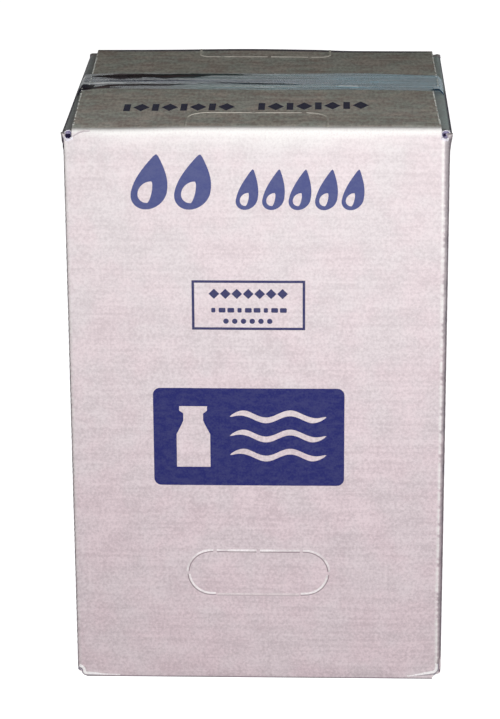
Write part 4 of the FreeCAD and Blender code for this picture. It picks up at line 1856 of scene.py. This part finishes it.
def tapeMaterial(name, specular):
    material, tree, shader = startMaterial(name, 0.22, specular)
    film = readAttribute(tree, "film")
    lines = addNoise(tree, 420, 3, stretch=(0.05, 0.5, 0.3), rough=0.6)
    lines = addRamp(tree, lines, tapeLook["lines"])
    tree.links.new(addMix(tree, "MULTIPLY", 1, film.outputs["Color"], lines), shader.inputs["Base Color"])
    cover = addNoise(tree, 300, 3, stretch=(0.1, 0.6, 0.3), rough=0.7)
    cover = addMath(tree, "ADD", addMath(tree, "MULTIPLY", cover, 1.3), 0.35)
    cover = clampShare(addMath(tree, "MULTIPLY", film.outputs["Alpha"], cover))
    tree.links.new(cover, shader.inputs["Alpha"])
    # the gloss is tinted blue, a painted reflection of a blue surrounding
    shader.inputs["Specular Tint"].default_value = (0.45, 0.8, 1, 1)
    ripple = addNoise(tree, 240, 3, stretch=(0.05, 1, 0.3))
    addBump(tree, shader, ripple, 0.55, 0.3 * mm)
    return material


def finishTape(piece, gathered, node, materials):
    darkness = paintTape(piece, gathered)
    cutTeeth(piece)
    for face in piece.data.polygons:
        dark = sum(darkness[index] for index in face.vertices) / len(face.vertices)
        face.material_index = 1 if dark > tapeLook["foldedFrom"] else 0
    film = piece.modifiers.new("film", "SOLIDIFY")
    film.thickness = tapeLook["film"]
    film.offset = 1
    applyModifier(piece, film)
    smoothByAngle(piece, 50)
    finish(piece, materials, "film_tape", node)
    print(piece.name, len(piece.data.polygons), "faces")


tapeMaterials = [tapeMaterial("clearTape", 0.5), tapeMaterial("shadedRidgeTape", 0)]
topTape = makeTape("topTape", "tape_top", 1, sheet["frontSlip"], sheet["backSlip"])
runAskew(topTape)
finishTape(topTape, True, "tape_top", tapeMaterials)
baseTape = makeTape("baseTape", "tape_bottom", -1, sheet["baseSlip"], sheet["baseSlip"])
finishTape(baseTape, False, "tape_bottom", tapeMaterials)
print("tapes laid")


# stage and light

bpy.context.scene.view_settings.view_transform = "Standard"

lightValues = {
    "fill": (0.93, 1.0, 0.8),
    "fillStrength": 0.045,
    "groundGlow": 1,
    "front": {"place": (0.1, -1.0, 0.57), "aim": (0, -0.1, 0.3), "size": (0.5, 0.2), "power": 8.6},
    "backLeft": {"place": (-1.5, 1.1, 0.2), "aim": (0, 0, 0.2), "size": (0.9, 0.36), "power": 7},
    "backRight": {"place": (1.5, 1.1, 0.2), "aim": (0, 0, 0.2), "size": (0.9, 0.36), "power": 7},
}


def toViewer(tree, unseen, seen):
    # one shader for light that goes round the stage, another for what the viewer sees
    rays = tree.nodes.new("ShaderNodeLightPath")
    share = addMath(tree, "ADD", rays.outputs["Is Camera Ray"], rays.outputs["Is Glossy Ray"])
    share = clampShare(addMath(tree, "ADD", share, rays.outputs["Is Transmission Ray"]))
    mix = tree.nodes.new("ShaderNodeMixShader")
    tree.links.new(share, mix.inputs["Fac"])
    tree.links.new(unseen.outputs[0], mix.inputs[1])
    tree.links.new(seen.outputs[0], mix.inputs[2])
    return mix.outputs["Shader"]


def makeStage():
    clearSelection()
    bpy.ops.mesh.primitive_plane_add(size=12, location=(0, 3, -0.2 * mm))
    ground = nameNew("ground")
    material, tree, shader = startMaterial("paleGround", 0.9, 0.5)
    shader.inputs["Base Color"].default_value = (0.7, 0.7, 0.7, 1)
    none = tree.nodes.new("ShaderNodeEmission")
    none.inputs["Strength"].default_value = 0
    glow = tree.nodes.new("ShaderNodeEmission")
    glow.inputs["Strength"].default_value = lightValues["groundGlow"]
    both = tree.nodes.new("ShaderNodeAddShader")
    tree.links.new(shader.outputs["BSDF"], both.inputs[0])
    tree.links.new(toViewer(tree, none, glow), both.inputs[1])
    out = [node for node in tree.nodes if node.type == "OUTPUT_MATERIAL"][0]
    tree.links.new(both.outputs["Shader"], out.inputs["Surface"])
    ground.data.materials.append(material)


def makeWorld():
    world = bpy.data.worlds.new("studio")
    bpy.context.scene.world = world
    world.use_nodes = True
    tree = world.node_tree
    tree.nodes.clear()
    out = tree.nodes.new("ShaderNodeOutputWorld")
    fill = tree.nodes.new("ShaderNodeBackground")
    fill.inputs["Color"].default_value = (*lightValues["fill"], 1)
    fill.inputs["Strength"].default_value = lightValues["fillStrength"]
    white = tree.nodes.new("ShaderNodeBackground")
    white.inputs["Color"].default_value = (1, 1, 1, 1)
    tree.links.new(toViewer(tree, fill, white), out.inputs["Surface"])


def makeLamp(name):
    values = lightValues[name]
    lamp = bpy.data.objects.new(name + "Lamp", bpy.data.lights.new(name + "Lamp", "AREA"))
    bpy.context.collection.objects.link(lamp)
    lamp.data.shape = "RECTANGLE"
    lamp.data.size, lamp.data.size_y = values["size"]
    lamp.data.energy = values["power"]
    lamp.location = values["place"]
    way = Vector(values["aim"]) - Vector(values["place"])
    lamp.rotation_euler = way.to_track_quat("-Z", "Y").to_euler()
    lamp.visible_camera = False
    lamp.visible_glossy = False


makeStage()
makeWorld()
for lampName in ("front", "backLeft", "backRight"):
    makeLamp(lampName)
print("stage lit")
